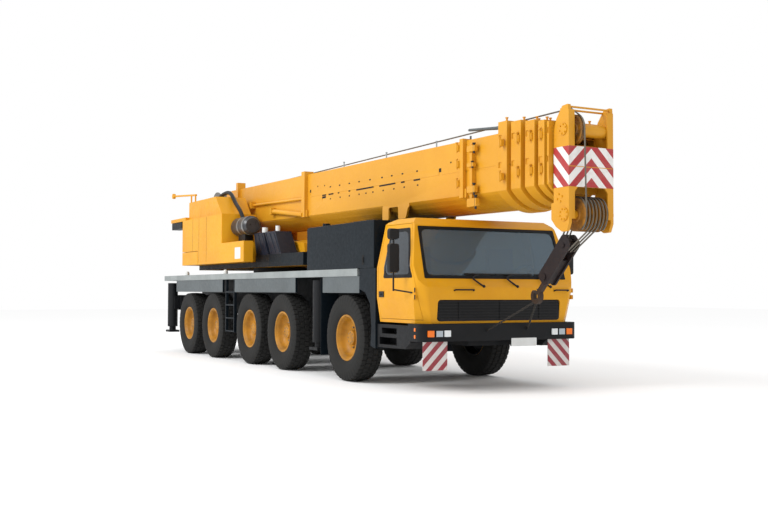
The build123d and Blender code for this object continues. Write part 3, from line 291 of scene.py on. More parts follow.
# %% Helpers for colours and nodes
def linear(hex_colour):
    """sRGB hex to linear RGBA: below 0.04045 a straight line, above it a power of 2.4."""
    values = np.array([int(hex_colour[i:i + 2], 16) / 255 for i in (0, 2, 4)])
    values = np.where(values <= 0.04045, values / 12.92, ((values + 0.055) / 1.055) ** 2.4)
    return (*values.tolist(), 1.0)


def per_metre(size_mm):
    """The scale of a noise whose blots are about size_mm across."""
    return 1000 / size_mm


def add_node(tree, kind, inputs, **settings):
    """Adds one node: an input is a value or the (node, output) it is linked from, a setting an attribute."""
    made = tree.nodes.new("ShaderNode" + kind)
    for key, value in settings.items():
        setattr(made, key, value)
    for key, value in inputs.items():
        if isinstance(value, tuple) and isinstance(value[0], bpy.types.Node):
            tree.links.new(value[0].outputs[value[1]], made.inputs[key])
        else:
            made.inputs[key].default_value = value
    return made


def new_material(name):
    """An empty material, the function that adds a node to it, and the output of its object coordinates."""
    material = bpy.data.materials.new(name)
    material.use_nodes = True
    material.node_tree.nodes.clear()
    add = partial(add_node, material.node_tree)
    return material, add, (add("TexCoord", {}), "Object")


# %% [markdown]
# ### Enamel
#
# Crane yellow leans to orange. The carrier's dark parts are a blue-grey enamel, the deck is a paler
# grey worn by boots, and the frame below is black chassis paint. Blots a metre wide keep a long side
# from looking like one flat tone, a faint orange peel breaks its highlights, and dust greys the tops.


# %% Enamels
def enamel(name, colour, worn, dust, sheen, dusty, blot_mm=900, gleam=0.45):
    """Two-pack enamel over steel: colour drifts over large blots, dust lies on faces that look up."""
    material, add, place = new_material(name)
    blots = add("TexNoise", {"Vector": place, "Scale": per_metre(blot_mm), "Detail": 5.0, "Roughness": 0.62})
    grime = add("TexNoise", {"Vector": place, "Scale": per_metre(60), "Detail": 6.0, "Roughness": 0.7})
    spread = add("MapRange", {"Value": (blots, "Fac"), "From Min": 0.35, "From Max": 0.7})
    base = add("Mix", {0: (spread, "Result"), 6: linear(colour), 7: linear(worn)}, data_type="RGBA")
    upward = add("SeparateXYZ", {"Vector": (add("NewGeometry", {}), "Normal")})
    lying = add("MapRange", {"Value": (upward, "Z"), "From Min": 0.2, "From Max": 1.0, "To Max": dusty})
    patchy = add("MapRange", {"Value": (grime, "Fac"), "From Min": 0.42, "From Max": 0.66, "To Min": 0.04})
    settled = add("Math", {0: (lying, "Result"), 1: (patchy, "Result")}, operation="MULTIPLY")
    thin = add("Math", {0: (patchy, "Result"), 1: 0.04, 2: (settled, "Value")}, operation="MULTIPLY_ADD")
    dusted = add("Mix", {0: (thin, "Value"), 6: (base, 2), 7: linear(dust)}, data_type="RGBA")
    gloss = add("MapRange", {"Value": (grime, "Fac"), "From Min": 0.3, "From Max": 0.75,
                             "To Min": sheen - 0.08, "To Max": sheen + 0.2})
    orange_peel = add("TexNoise", {"Vector": place, "Scale": per_metre(18), "Detail": 2.0})
    bump = add("Bump", {"Height": (orange_peel, "Fac"), "Strength": 0.04, "Distance": 0.002})
    surface = add("BsdfPrincipled", {"Base Color": (dusted, 2), "Roughness": (gloss, "Result"),
                                     "Normal": (bump, "Normal"), "IOR": 1.5, "Specular IOR Level": gleam})
    add("OutputMaterial", {"Surface": (surface, "BSDF")})
    return material


yellow_enamel = enamel("crane_yellow_enamel", "D89A14", "CC8C10", "B89A5E", sheen=0.4, dusty=0.1, gleam=0.22)
yellow_shade = enamel("boom_yellow_enamel", "D69920", "CC8D18", "BE9F66", sheen=0.36, dusty=0.1,
                      blot_mm=1500, gleam=0.35)
blue_grey = enamel("blue_grey_enamel", "0B141B", "121B22", "4C4C49", sheen=0.42, dusty=0.15, gleam=0.1)
panel_grey = enamel("panel_grey_enamel", "565D60", "4B5153", "827E76", sheen=0.5, dusty=0.2, gleam=0.3)
deck_grey = enamel("deck_grey_enamel", "8E9494", "7A8080", "A8A296", sheen=0.55, dusty=0.5, blot_mm=500)
chassis_black = enamel("chassis_black_enamel", "0C0E11", "14161A", "4E4A44", sheen=0.5, dusty=0.3, gleam=0.2)
sheave_yellow = enamel("worn_sheave_enamel", "A87016", "5E4529", "5A4D3A", sheen=0.5, dusty=0.4, blot_mm=120)
cover_black = enamel("cover_blue_black_enamel", "101726", "171D2A", "504F4C", sheen=0.4, dusty=0.2,
                     gleam=0.25)
cleaner_grey = enamel("air_cleaner_enamel", "26282C", "33353A", "6E6B66", sheen=0.3, dusty=0.3,
                      blot_mm=300, gleam=0.5)
block_brown = enamel("hook_block_enamel", "1E1719", "2B2120", "5A4F49", sheen=0.45, dusty=0.2,
                     blot_mm=150, gleam=0.25)
rim_yellow = enamel("rim_yellow_enamel", "B87E18", "8E6014", "5E4E36", sheen=0.42, dusty=0.35,
                    blot_mm=220, gleam=0.3)
print("enamels", len(bpy.data.materials))

# %% [markdown]
# ### Rubber, plastic, cloth and metals
#
# These are of one substance all through, so two close colours mixed by noise are enough, with a fine
# bump from how each was made. Rubber and cloth scatter nearly all light, moulded plastic keeps a soft
# sheen, and metals take their colour from what they mirror. Cloth's weave is drawn 4 mm wide, coarser
# than it is, so that it shows.


# %% Worked surfaces
def worked_surface(name, colour, other, rough, metallic=0.0, blot_mm=40, bump_mm=3, bump=0.15, ior=1.5,
                   gleam=0.5):
    """Colour = a mix of two by noise, roughness = rough by the same noise; a metal keeps the default IOR."""
    material, add, place = new_material(name)
    blots = add("TexNoise", {"Vector": place, "Scale": per_metre(blot_mm), "Detail": 6.0, "Roughness": 0.65})
    mixed = add("Mix", {0: (blots, "Fac"), 6: linear(colour), 7: linear(other)}, data_type="RGBA")
    gloss = add("MapRange", {"Value": (blots, "Fac"), "From Min": 0.3, "From Max": 0.7,
                             "To Min": rough - 0.06, "To Max": rough + 0.08})
    fine = add("TexNoise", {"Vector": place, "Scale": per_metre(bump_mm), "Detail": 3.0})
    rise = add("Bump", {"Height": (fine, "Fac"), "Strength": bump, "Distance": 0.001})
    coat = {} if metallic else {"IOR": ior, "Specular IOR Level": gleam}
    surface = add("BsdfPrincipled", {"Base Color": (mixed, 2), "Roughness": (gloss, "Result"),
                                     "Normal": (rise, "Normal"), "Metallic": metallic, **coat})
    add("OutputMaterial", {"Surface": (surface, "BSDF")})
    return material


# Tread rubber: carbon-black compound greyed by road dust
tyre_rubber = worked_surface("tyre_rubber", "191A1B", "2C2B29", 0.85, blot_mm=70, bump_mm=6, bump=0.3,
                             gleam=0.22)
# Moulded black plastic of mirrors, wipers, grille and handles, and the rubber round the panes
black_plastic = worked_surface("moulded_black_plastic", "0B0B0D", "131416", 0.5, blot_mm=30, bump_mm=2,
                               gleam=0.3)
seal_rubber = worked_surface("seal_rubber", "080809", "0F0F10", 0.62, blot_mm=20, bump_mm=2, gleam=0.25)
seat_cloth = worked_surface("woven_seat_cloth", "2C2E33", "3A3D42", 0.9, blot_mm=4, bump_mm=4, bump=0.6)
red_cloth = worked_surface("red_seat_cloth", "A8525A", "93444C", 0.9, blot_mm=4, bump_mm=4, bump=0.6)
dash_plastic = worked_surface("grained_dash_plastic", "222325", "2D2E30", 0.6, blot_mm=3, bump_mm=3, bump=0.4)
# Metals: zinc's pale spangle, bare drum steel, the mirror of hard chrome, sand-cast iron and greased rope
galvanised = worked_surface("galvanised_steel", "8F9496", "A4A9AA", 0.42, 1.0, blot_mm=25, bump_mm=6)
bare_steel = worked_surface("bare_steel", "6F6D6A", "857F76", 0.38, 1.0, blot_mm=60, bump_mm=5)
chromed_rod = worked_surface("hard_chrome", "C4C6C8", "B4B6B8", 0.1, 1.0, blot_mm=80, bump_mm=8, bump=0.03)
cast_iron = worked_surface("cast_iron", "33312F", "46423D", 0.68, 0.6, blot_mm=30, bump_mm=4, bump=0.5)
wire_rope = worked_surface("greased_wire_rope", "5C5750", "7C766B", 0.45, 0.8, blot_mm=15, bump_mm=4,
                           bump=0.5)
mirror_glass = worked_surface("mirror_glass", "AEB6BC", "A2AAB0", 0.04, 1.0, blot_mm=200, bump_mm=20,
                              bump=0.0)
# Worn paint of the forged hook, white sheet, and lenses of acrylic with a moulded pattern
hook_brown = worked_surface("forged_hook_paint", "3E2C20", "2A211B", 0.55, blot_mm=40, bump_mm=6, gleam=0.3)
white_film = worked_surface("white_sheet_metal", "DADCDC", "C4C6C4", 0.45, blot_mm=120, bump_mm=10, bump=0.05)
orange_lens, white_lens, red_lens = (
    worked_surface(name, colour, other, rough, blot_mm=8, bump_mm=6, bump=0.5, ior=1.49)
    for name, colour, other, rough in (("orange_lens", "F07A12", "E86C08", 0.12),
                                       ("clear_lens", "E6E9EA", "C9CED0", 0.1),
                                       ("red_lens", "A81412", "8C0E0E", 0.15)))
print("with worked surfaces", len(bpy.data.materials))

# %% [markdown]
# ### Glass and warning stripes
#
# Safety glass lets part of the light through, so that the seats show darkly behind it. The boards
# below the bumper carry red and white diagonals and the boom's head carries chevrons. Both stripes are
# one sum: a point's height plus its distance from a centre line, divided by the stripe's pitch, and
# the fraction of that picks red or white. Read in object coordinates, the stripes keep their real
# size: half the pitch is 95 mm up the boards and 125 mm up the head.


# %% Glass and striped film
def tinted_glass(name, colour, clear):
    """Tinted safety glass: IOR 1.52, very smooth, part of the light passes through, with faint dust."""
    material, add, place = new_material(name)
    dust = add("TexNoise", {"Vector": place, "Scale": per_metre(120), "Detail": 5.0})
    film = add("MapRange", {"Value": (dust, "Fac"), "From Min": 0.45, "From Max": 0.8,
                            "To Min": 0.02, "To Max": 0.12})
    surface = add("BsdfPrincipled", {"Base Color": linear(colour), "Roughness": (film, "Result"), "IOR": 1.52,
                                     "Transmission Weight": clear})
    add("OutputMaterial", {"Surface": (surface, "BSDF")})
    return material


def striped(name, along, centre, slant, pitch, fold=False, red="A9262B", white="E4E2DE"):
    """Red where fract((z + slant * (along - centre)) / pitch) < 0.5, else white; fold takes the distance."""
    material, add, place = new_material(name)
    split = add("SeparateXYZ", {"Vector": place})
    spread = add("Math", {0: (split, along), 1: centre}, operation="SUBTRACT")
    if fold:
        spread = add("Math", {0: (spread, "Value")}, operation="ABSOLUTE")
    total = add("Math", {0: (spread, "Value"), 1: slant, 2: (split, "Z")}, operation="MULTIPLY_ADD")
    counted = add("Math", {0: (total, "Value"), 1: pitch}, operation="DIVIDE")
    part = add("Math", {0: (counted, "Value")}, operation="FRACT")
    pick = add("Math", {0: (part, "Value"), 1: 0.5}, operation="LESS_THAN")
    grime = add("TexNoise", {"Vector": place, "Scale": per_metre(90), "Detail": 6.0, "Roughness": 0.7})
    amount = add("MapRange", {"Value": (grime, "Fac"), "From Min": 0.45, "From Max": 0.75, "To Max": 0.3})
    colours = add("Mix", {0: (pick, "Value"), 6: linear(white), 7: linear(red)}, data_type="RGBA")
    dirty = add("Mix", {0: (amount, "Result"), 6: (colours, 2), 7: linear("8A8074")}, data_type="RGBA")
    surface = add("BsdfPrincipled", {"Base Color": (dirty, 2), "Roughness": 0.42, "IOR": 1.49})
    add("OutputMaterial", {"Surface": (surface, "BSDF")})
    return material


window_glass = tinted_glass("tinted_safety_glass", "7590A2", 0.72)
door_glass = tinted_glass("dark_tinted_glass", "3E4C58", 0.7)
BOARD_MIDDLE, BOARD_PITCH, HEAD_PITCH = 1.08, 0.19, 0.25
board_film = {side: striped(f"warning_film_{hand}", "Y", side * BOARD_MIDDLE, float(side), BOARD_PITCH,
                            red="8C2230", white="CDC7C4") for side, hand in SIDES}
print("materials", len(bpy.data.materials))

# %% [markdown]
# ## Dressing the CAD pieces
#
# A CAD mesh is loose triangles with knife edges. For each node whose shape is right we take a copy,
# merge its points, dissolve the flat triangles and round its edges by a few millimetres, because a
# real plate always has an edge that catches the light. A rule can give some faces a second finish, or
# black paint as painted shade.

# %% Finishing CAD nodes
MERGE_DISTANCE, FLAT_DEGREES, SMOOTH_DEGREES, EDGE_DEGREES = 2e-5, 0.4, 30, 32
body_of_node = {node: body for body, nodes in frame["record"]["behaviour"]["bodies"].items()
                for node in nodes}


def sort_faces(mesh, rules, centre=(FIRST_AXLE, 0, 0)):
    """Gives a face the last rule's material whose test it passes, by x, y, z from centre and its normal."""
    values = np.empty((2, len(mesh.polygons) * 3))
    mesh.polygons.foreach_get("center", values[0])
    mesh.polygons.foreach_get("normal", values[1])
    x, y, z = (values[0].reshape(-1, 3) - centre).T
    index = np.zeros(len(x), dtype=np.int32)
    for number, (material, test) in enumerate(rules, start=1):
        mesh.materials.append(material)
        index[test(x, y, z, values[1].reshape(-1, 3).T)] = number
    mesh.polygons.foreach_set("material_index", index)


def dress(node, material, edge=0.004, rules=(), cuts=()):
    """A finished copy of a CAD node: merged, flat faces dissolved, edges rounded, faces sorted by rules.

    A cut is (axis, value) and divides the faces along that plane, so that a finish or painted shade can end
    inside a face.
    """
    mesh = frame["nodes"][node].data.copy()
    mesh.materials.clear()
    mesh.materials.append(material)
    made = stand(node + "_finished", mesh)
    tidy = bmesh.new()
    tidy.from_mesh(mesh)
    bmesh.ops.remove_doubles(tidy, verts=tidy.verts, dist=MERGE_DISTANCE)
    bmesh.ops.dissolve_limit(tidy, angle_limit=radians(FLAT_DEGREES), verts=tidy.verts, edges=tidy.edges)
    for axis, value in cuts:
        everything = tidy.verts[:] + tidy.edges[:] + tidy.faces[:]
        way = np.eye(3)[axis]
        point = from_axle(value * way)
        bmesh.ops.bisect_plane(tidy, geom=everything, dist=1e-6, plane_co=point, plane_no=way)
    tidy.to_mesh(mesh)
    tidy.free()
    if rules:
        sort_faces(mesh, rules)
    mesh.shade_smooth()
    mesh.set_sharp_from_angle(angle=radians(SMOOTH_DEGREES))
    if edge:
        bevel = made.modifiers.new("edge", "BEVEL")
        bevel.width = edge
        bevel.segments = 2
        bevel.limit_method = "ANGLE"
        bevel.angle_limit = radians(EDGE_DEGREES)
        bevel.harden_normals = True
    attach(made, body_of_node[node])
    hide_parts(node)


# %% Yellow pieces
BLOCK_STEP, BLOCK_FRONT, BLOCK_SIDE = -4.84, -4.09, -0.56
LOW_EDGE, BLOCK_TOP, MIRROR_REACH = 1.995, 2.14, HALF_WIDTH + 0.004
dress("cab_shell", yellow_enamel)
for node in ("door_right", "door_left"):
    dress(node, yellow_enamel, rules=[(black_plastic, lambda x, y, z, n: abs(y) > MIRROR_REACH)])
for node in ("counterweight", "engine_housing", "upper_cab", "upper_cab_door"):
    dress(node, yellow_enamel)
# The black chassis paint on the turntable is painted shade. The platform's low side strip gets a painted
# shadow from the housing. The strip just behind the blue-grey box is a painted shade void. The box itself is
# its own blue-grey paint.
dress("turntable", yellow_enamel, cuts=((0, BLOCK_FRONT), (0, BLOCK_STEP), (2, LOW_EDGE)), rules=(
    (chassis_black, lambda x, y, z, n: (z < LOW_EDGE) & (abs(y) > 0.98) & (x < BLOCK_FRONT)),
    (blue_grey, lambda x, y, z, n: (x > BLOCK_FRONT - 0.005) & (y < BLOCK_SIDE) & (z < BLOCK_TOP)),
    (chassis_black, lambda x, y, z, n: (x > BLOCK_STEP - 0.005) & (x < BLOCK_FRONT + 0.01)
     & (y < BLOCK_SIDE) & (z > LOW_EDGE - 0.01) & (z < BLOCK_TOP))))
for node in ("boom_base", *(f"boom_section_{number}" for number in range(1, 5)), "boom_head"):
    dress(node, yellow_shade, edge=0.005)

# %% Dark and grey pieces
PANEL_LOW, JACK_BACK, JACK_FRONT = 1.385, -5.72, -5.06
BOARD_BACK, BOARD_TOP, SEAT_FRONT = 2.27, 0.715, 1.67
CLEANER_BACK, CLEANER_FRONT, CLEANER_Y, CLEANER_Z, CAP_LOW = -5.81, -4.98, -1.0, 2.75, 2.582
dress("engine_cowl", blue_grey, edge=0.008)
dress("chassis_frame", chassis_black)
dress("side_panels", blue_grey, rules=[
    (panel_grey, lambda x, y, z, n: (z > PANEL_LOW) & (abs(y) > 1.3) & (x < 0.5)
     & ~((x > JACK_BACK) & (x < JACK_FRONT)) & (abs(n[0]) < 0.9))])
dress("deck", deck_grey, edge=0.006)
dress("bumper", chassis_black, edge=0.01, rules=[
    (film, lambda x, y, z, n, side=side: (x > BOARD_BACK) & (z < BOARD_TOP) & (side * y > 0.86))
    for side, film in board_film.items()])
dress("grille", black_plastic, edge=0.003)
dress("axle_beams", chassis_black, edge=0)
dress("carrier_engine", cast_iron)
dress("cab_interior", dash_plastic, edge=0.02, rules=(
    (seat_cloth, lambda x, y, z, n: (x < SEAT_FRONT) & (y < 0)),
    (red_cloth, lambda x, y, z, n: (x < SEAT_FRONT) & (y > 0))))
dress("cowl_fittings", blue_grey, edge=0.01)
dress("housing_fittings", black_plastic, rules=(
    (cleaner_grey, lambda x, y, z, n: (x > CLEANER_BACK) & (x < CLEANER_FRONT)
     & (np.hypot(y - CLEANER_Y, z - CLEANER_Z) < 0.2)),
    (cover_black, lambda x, y, z, n: (x > CLEANER_FRONT) & (z < CAP_LOW)),
    (white_film, lambda x, y, z, n: (x > -4.7) & (z > CAP_LOW)),
    (chassis_black, lambda x, y, z, n: x < -8.6)))
dress("winch", bare_steel, edge=0.003)

# %% Hook block, cylinder, lamps and glass
SHEAVE_X, SHEAVE_Z = 4.245, 2.405
ROPE_PART, HOOK_PART = 0.398, 1.204
MIDDLE, PLAIN_LAMP, ORANGE_LAMP = -FIRST_AXLE, 1.0, 1.13


def down_the_block(x, z):
    """Distance from the lower sheave axle along the lashed hook block, 45 degrees back and down."""
    return -((x - SHEAVE_X) + (z - SHEAVE_Z)) * np.sqrt(0.5)


dress("hook_block", block_brown, edge=0.003, rules=(
    (wire_rope, lambda x, y, z, n: down_the_block(x, z) < ROPE_PART),
    (hook_brown, lambda x, y, z, n: down_the_block(x, z) > HOOK_PART)))
dress("luff_barrel", yellow_enamel)
dress("luff_rod", chromed_rod, edge=0.003)
dress("lamps", white_lens, edge=0.006, rules=(
    (mirror_glass, lambda x, y, z, n: (x > MIDDLE) & (abs(y) > PLAIN_LAMP) & (abs(y) < ORANGE_LAMP)),
    (orange_lens, lambda x, y, z, n: (x > MIDDLE) & (abs(y) > ORANGE_LAMP)),
    (red_lens, lambda x, y, z, n: x < MIDDLE)))
for node in frame["nodes"]:
    if node.startswith(("knuckle", "outrigger")):
        dress(node, chassis_black, edge=0.003)
for node in ("windscreen", "door_glass_right", "door_glass_left"):
    frame["nodes"][node].data.materials.clear()
    frame["nodes"][node].data.materials.append(window_glass if node == "windscreen" else door_glass)

# %% [markdown]
# ## Tyres and rims
#
# The tyre is one grid: round the axle one way, across its section the other. Its radius comes from
# the section's outline, less a groove where the tread pattern says so. An all-terrain tread is rows
# of blocks: grooves cross it, half a block apart from lane to lane, and those round it sway sideways.
# The rim is one section turned about the axle and closed at the back.

# %% Tyre and rim
TYRE_RADIUS, HALF_TREAD = 0.685, 0.1655
GROOVE, SHOULDER_GROOVE, SWAY, CROWN = 0.016, 0.005, 0.006, 0.012
BLOCKS, STEPS_PER_BLOCK = 44, 6
HALF_LANES = np.array([0.05, 0.09, 0.51, 0.545, 0.585, 0.62, 0.98, 1.0])
WALL = np.array([(0.172, 0.655), (0.1785, 0.640), (0.1835, 0.60), (0.1868, 0.553), (0.1868, 0.52),
                 (0.184, 0.505), (0.184, 0.492), (0.18, 0.44), (0.1655, 0.40), (0.150, 0.376), (0.143, 0.368),
                 (0.133, 0.366), (0.130, 0.352), (0.128, 0.342)])
RIM_FRONT = [(0.1325, 0.3397), (0.1345, 0.364), (0.139, 0.3665), (0.1455, 0.3655), (0.149, 0.358),
             (0.147, 0.344), (0.141, 0.335), (0.132, 0.330), (0.118, 0.322), (0.108, 0.312), (0.085, 0.302),
             (0.045, 0.290), (0.018, 0.272), (0.0, 0.248), (-0.014, 0.222), (-0.019, 0.2), (-0.0185, 0.15),
             (-0.016, 0.128), (0.03, 0.122), (0.062, 0.114), (0.069, 0.104), (0.0705, 0.06), (0.0705, 0.0)]
RIM_BACK = [(-0.041, 0.0), (-0.041, 0.235), (-0.01, 0.262), (0.02, 0.30), (0.02, 0.318), (-0.1325, 0.324),
            (-0.1325, 0.3397)]


def tyre(centre, side):
    """Radius over (section point, angle): the section's radius less a groove between tread blocks."""
    tread = np.concatenate([-HALF_LANES[::-1], HALF_LANES])
    crown = TYRE_RADIUS - CROWN * tread ** 2
    across = np.concatenate([-WALL[::-1, 0], tread * HALF_TREAD, WALL[:, 0]])
    radius = np.concatenate([WALL[::-1, 1], crown, WALL[:, 1]])
    place = np.arange(len(across)) - len(WALL)
    columns = BLOCKS * STEPS_PER_BLOCK
    angle = np.arange(columns) / columns * 2 * np.pi
    step = np.arange(columns) % STEPS_PER_BLOCK
    shift = np.array((0, 3, 0, 3))[np.digitize(across, (-0.09, 0.0, 0.09))]
    crosswise = (step[None, :] + shift[:, None]) % STEPS_PER_BLOCK == 0
    lengthwise = np.isin(place, (3, 4, 7, 8, 11, 12))[:, None]
    deep = (crosswise | lengthwise) & ((place >= 0) & (place < len(tread)))[:, None]
    shoulder = np.isin(place, (-3, -2, -1, len(tread), len(tread) + 1, len(tread) + 2))
    lug = crosswise & shoulder[:, None]
    radii = radius[:, None] - GROOVE * deep - SHOULDER_GROOVE * lug
    sway = SWAY * np.where(step < STEPS_PER_BLOCK / 2, 1, -1)[None, :] * lengthwise
    wide = across[:, None] + sway - SWAY * np.sign(across)[:, None] * lug
    points = np.stack([radii * np.cos(angle), side * (wide + 0 * radii), radii * np.sin(angle)], axis=-1)
    faces = grid_faces(len(across), columns, close_rows=True, close_columns=True)
    return centre + points.reshape(-1, 3), faces


for number in range(1, 6):
    for side, hand in SIDES:
        node = f"wheel_{number}_{hand}"
        centre = np.mean(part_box(node), axis=0) - (FIRST_AXLE, 0, 0)
        name = f"{number}_{hand}"
        piece("tyre_" + name, [tyre(centre, side)], tyre_rubber, node, (node,), smooth=28)
        # The dished steel rim: a flange, a well, a cone down to the disc, and the hub
        rim = turned(np.array(RIM_BACK + RIM_FRONT) * (side, 1), centre, (0, 1, 0), 72)
        made = piece("rim_" + name, [rim], rim_yellow, node, (node,), smooth=40)
        # Painted shade, with road dirt, blackens the rim's inboard faces and the back of its dish
        sort_faces(made.data, [(chassis_black, lambda x, y, z, n: (side * n[1] < -0.3)
                                | ((side * y < -0.02) & (np.hypot(x, z) < 0.332)))], from_axle(centre))
        # Ten wheel nuts on a 335 mm circle, and eight smaller bolts round the hub's cap
        nuts = [ring_of_nuts(centre, side, circle, count, size, seat, rise * 0.8, rise, 0.0)
                for circle, count, size, seat, rise in ((0.1675, 10, 0.0165, -0.0185, 0.026),
                                                        (0.082, 8, 0.009, 0.0695, 0.009))]
        piece("wheel_nuts_" + name, nuts, bare_steel, node, smooth=20)

# %% [markdown]
# ## Sheaves and ropes
#
# A sheave is one section turned about its axle: hub, thin web, rim and a round groove. Round the seven
# lower sheaves the rope's centre runs on the curve r(a) = 0.2258 - 0.0223 max(0, cos a)^4: it leaves
# the CAD's falls at their own distance and settles into the groove at the front. The hoist rope comes
# from the drum over the boom to the top sheave and down; it is cut where it passes from body to body.

# %% Sheaves
HOIST_Y = -0.19
ROPE = 0.011
SHEAVE_PLACE = np.array((SHEAVE_X, 0, SHEAVE_Z))
TOP_SHEAVE = np.array((4.235, HOIST_Y, 3.49))
DRUM_X, DRUM_Z, DRUM_HALF = -8.9, 3.45, 0.374


def sheave(centre, radius, half):
    """Hub, web and rim; the groove is a half circle of the rope's radius, set below the rim's edge."""
    t = np.linspace(-1, 1, 9)
    groove = list(zip(ROPE * t, radius - 0.011 - ROPE * np.sqrt(1 - t ** 2)))
    left = [(-half, 0.0553), (-half, 0.085), (-0.009, 0.098), (-0.009, radius - 0.05),
            (0.002 - half, radius - 0.032), (0.002 - half, radius - 0.004), (0.006 - half, radius)]
    profile = left + groove + [(-a, r) for a, r in left[::-1]] + left[:1]
    return turned(profile, centre, (0, 1, 0), 72)


lanes = [(0, lane * 0.056, 0) for lane in range(-3, 4)]
lower = at_each(sheave(SHEAVE_PLACE, 0.215, 0.019), lanes)
piece("lower_sheaves", [lower], sheave_yellow, "boom_head", ("head_sheaves",))
upper = sheave(TOP_SHEAVE, 0.198, 0.03)
piece("top_sheave", [upper], sheave_yellow, "boom_head", ("head_sheaves",))
print("sheaves", len(lanes) + 1)


# %% Ropes
def rope(path):
    """A rope along a path in a plane across y."""
    return bar(path, ROPE, 8, reference=(0, 1.0, 0))


def round_axle(first, last, count):
    """Unit vectors across y, from one angle in degrees to another, measured up from straight ahead."""
    angle = np.radians(np.linspace(first, last, count))
    return np.column_stack([np.cos(angle), 0 * angle, np.sin(angle)])


wrap = round_axle(-59.3, 149.3, 60)
wrap *= (0.2258 - 0.0223 * np.maximum(0, wrap[:, :1]) ** 4)
wraps = at_each(rope(SHEAVE_PLACE + wrap), lanes)
piece("reeving_on_sheaves", [wraps], wire_rope, "boom_head", smooth=60)

ROPE_FRONT, BODY_CUT, HEAD_CUT = 4.18, -8.26, 3.24
drum_top = np.array((DRUM_X, HOIST_Y, 3.722))
over_bar = np.array((ROPE_FRONT, HOIST_Y, 3.776))
on_top = TOP_SHEAVE + 0.2093 * round_axle(56.8, 0, 14)
down = np.linspace(on_top[-1], (4.448, -0.168, SHEAVE_Z), 10)[1:]
for name, body, start, stop in (("hoist_rope_rear", "superstructure", DRUM_X, BODY_CUT),
                                ("hoist_rope_boom", "boom", BODY_CUT, HEAD_CUT),
                                ("hoist_rope_front", "boom_head", HEAD_CUT, ROPE_FRONT)):
    share = (np.linspace(start, stop, 12) - DRUM_X) / (ROPE_FRONT - DRUM_X)
    path = drum_top + share[:, None] * (over_bar - drum_top)
    if body == "boom_head":
        path = np.vstack([path, on_top, down])
    piece(name, [rope(path)], wire_rope, body, smooth=60)

wound = [(-DRUM_HALF, 0.2505)]
for edge in np.arange(-17, 17) * 2 * ROPE:
    wound += [(edge + ROPE * (1 - np.cos(a)), 0.252 + ROPE * np.sin(a))
              for a in np.radians((10, 50, 90, 130, 170))]
wound += [(DRUM_HALF, 0.2505), wound[0]]
winding = turned(wound, (DRUM_X, 0, DRUM_Z), (0, 1, 0), 64)
piece("rope_on_drum", [winding], wire_rope, "superstructure", smooth=60)

# %% Stowed pole on the boom
POLE_Y, POLE_FOOT = -0.30, 3.70
pole_line = [(1.95, POLE_Y, 3.79), (1.97, POLE_Y, 3.79), (2.9, POLE_Y, 3.70), (3.12, POLE_Y, 3.68)]
pole = [bar(pole_line, (0.014, 0.02, 0.026, 0.026), 14)]
pole += [bar([(x, POLE_Y, low), (x, POLE_Y, POLE_FOOT)], 0.014, 12) for x, low in ((2.0, 3.59), (2.95, 3.58))]
piece("stowed_pole", pole, panel_grey, "boom", smooth=40)
print("pole", round(pole_line[-1][0] - pole_line[0][0], 2), "m long")

# %% [markdown]
# ## Films and marks
#
# The head carries chevrons: on its front they rise to the centre line, on its sides they turn back at
# the corner, so that the value z + |y| goes on over the edge without a jump. Rows of short dashes run
# along both sides of the boom, one row above the seam, one in it and one below. The number plate on
# the bumper and the pockets in the boom's sides are thin plates with rounded corners.

# %% Chevrons and bolts of the head
HEAD_FRONT, HEAD_SIDE, FILM_BACK, FILM_LOW, FILM_HIGH = 4.345, 0.362, 4.037, 2.752, 3.268
chevrons = striped("chevron_film_front", "Y", 0.0, 1.0, HEAD_PITCH, fold=True)
side_chevrons = striped("chevron_film_side", "X", FIRST_AXLE + HEAD_FRONT - HEAD_SIDE, 1.0, HEAD_PITCH)
halves = [brick((HEAD_FRONT, HEAD_FRONT + 0.002), (-0.361, 0.361), levels, 0.0005)
          for levels in ((FILM_LOW, 3.005), (3.015, FILM_HIGH))]
piece("head_film_front", halves, chevrons, "boom_head", smooth=0)
sides = [brick((FILM_BACK, HEAD_FRONT), (side * HEAD_SIDE, side * 0.3635), (FILM_LOW, FILM_HIGH), 0.0005)
         for side, hand in SIDES]
piece("head_film_sides", sides, side_chevrons, "boom_head", smooth=0)
bolts = []
for side, hand in SIDES:
    bolts.append(ring_of_nuts(SHEAVE_PLACE + (0, side * 0.376, 0), side, 0.068, 8, 0.011))
    bolts.append(ring_of_nuts(TOP_SHEAVE * (1, 0, 1) + (0, side * 0.374, 0), side, 0.06, 6, 0.011))
    bolts.append(ring_of_nuts((4.16, side * HEAD_SIDE, 2.62), side, 0.05, 4, 0.013))
piece("head_bolts", bolts, yellow_enamel, "boom_head", smooth=20)
print("bolt rings", len(bolts))

# %% Marks and pins on the boom
BOOM_SIDE = 0.4695
UPPER_ROW, SEAM_ROW, LOWER_ROW = 0.315, 0.45, 0.535


def boom_height(x, depth):
    """Height of a point on the boom's side: its top falls 0.6 degrees to the front from 3.660 at x -3.35."""
    return 3.660 - (x + 3.35) * np.sin(radians(0.6)) - depth


dashes = [(x, UPPER_ROW, 0.05) for x in (-2.433, -2.046, -1.651, -1.27, -0.86, -0.426, -0.089, 0.267, 0.732)]
dashes += [(x, LOWER_ROW, 0.04)
           for x in (-2.431, -2.02, -1.649, -1.268, -1.007, -0.753, -0.385, -0.018, 0.324, 0.751)]
dashes += [(x, SEAM_ROW, length)
           for x, length in ((-2.41, 0.197), (-2.09, 0.05), (-1.65, 0.06), (-1.056, 0.64), (-0.25, 0.55),
                             (0.275, 0.11), (0.724, 0.197))]
dashes += [(-2.989, 0.264, 0.03), (-2.682, 0.273, 0.03), (1.728, 0.277, 0.03), (2.011, 0.28, 0.03)]
marks = []
for side, hand in SIDES:
    for x, depth, length in dashes:
        z = boom_height(x, depth)
        marks.append(brick((x - length / 2, x + length / 2), (side * BOOM_SIDE, side * (BOOM_SIDE + 0.003)),
                           (z - 0.012, z + 0.012), 0.001))
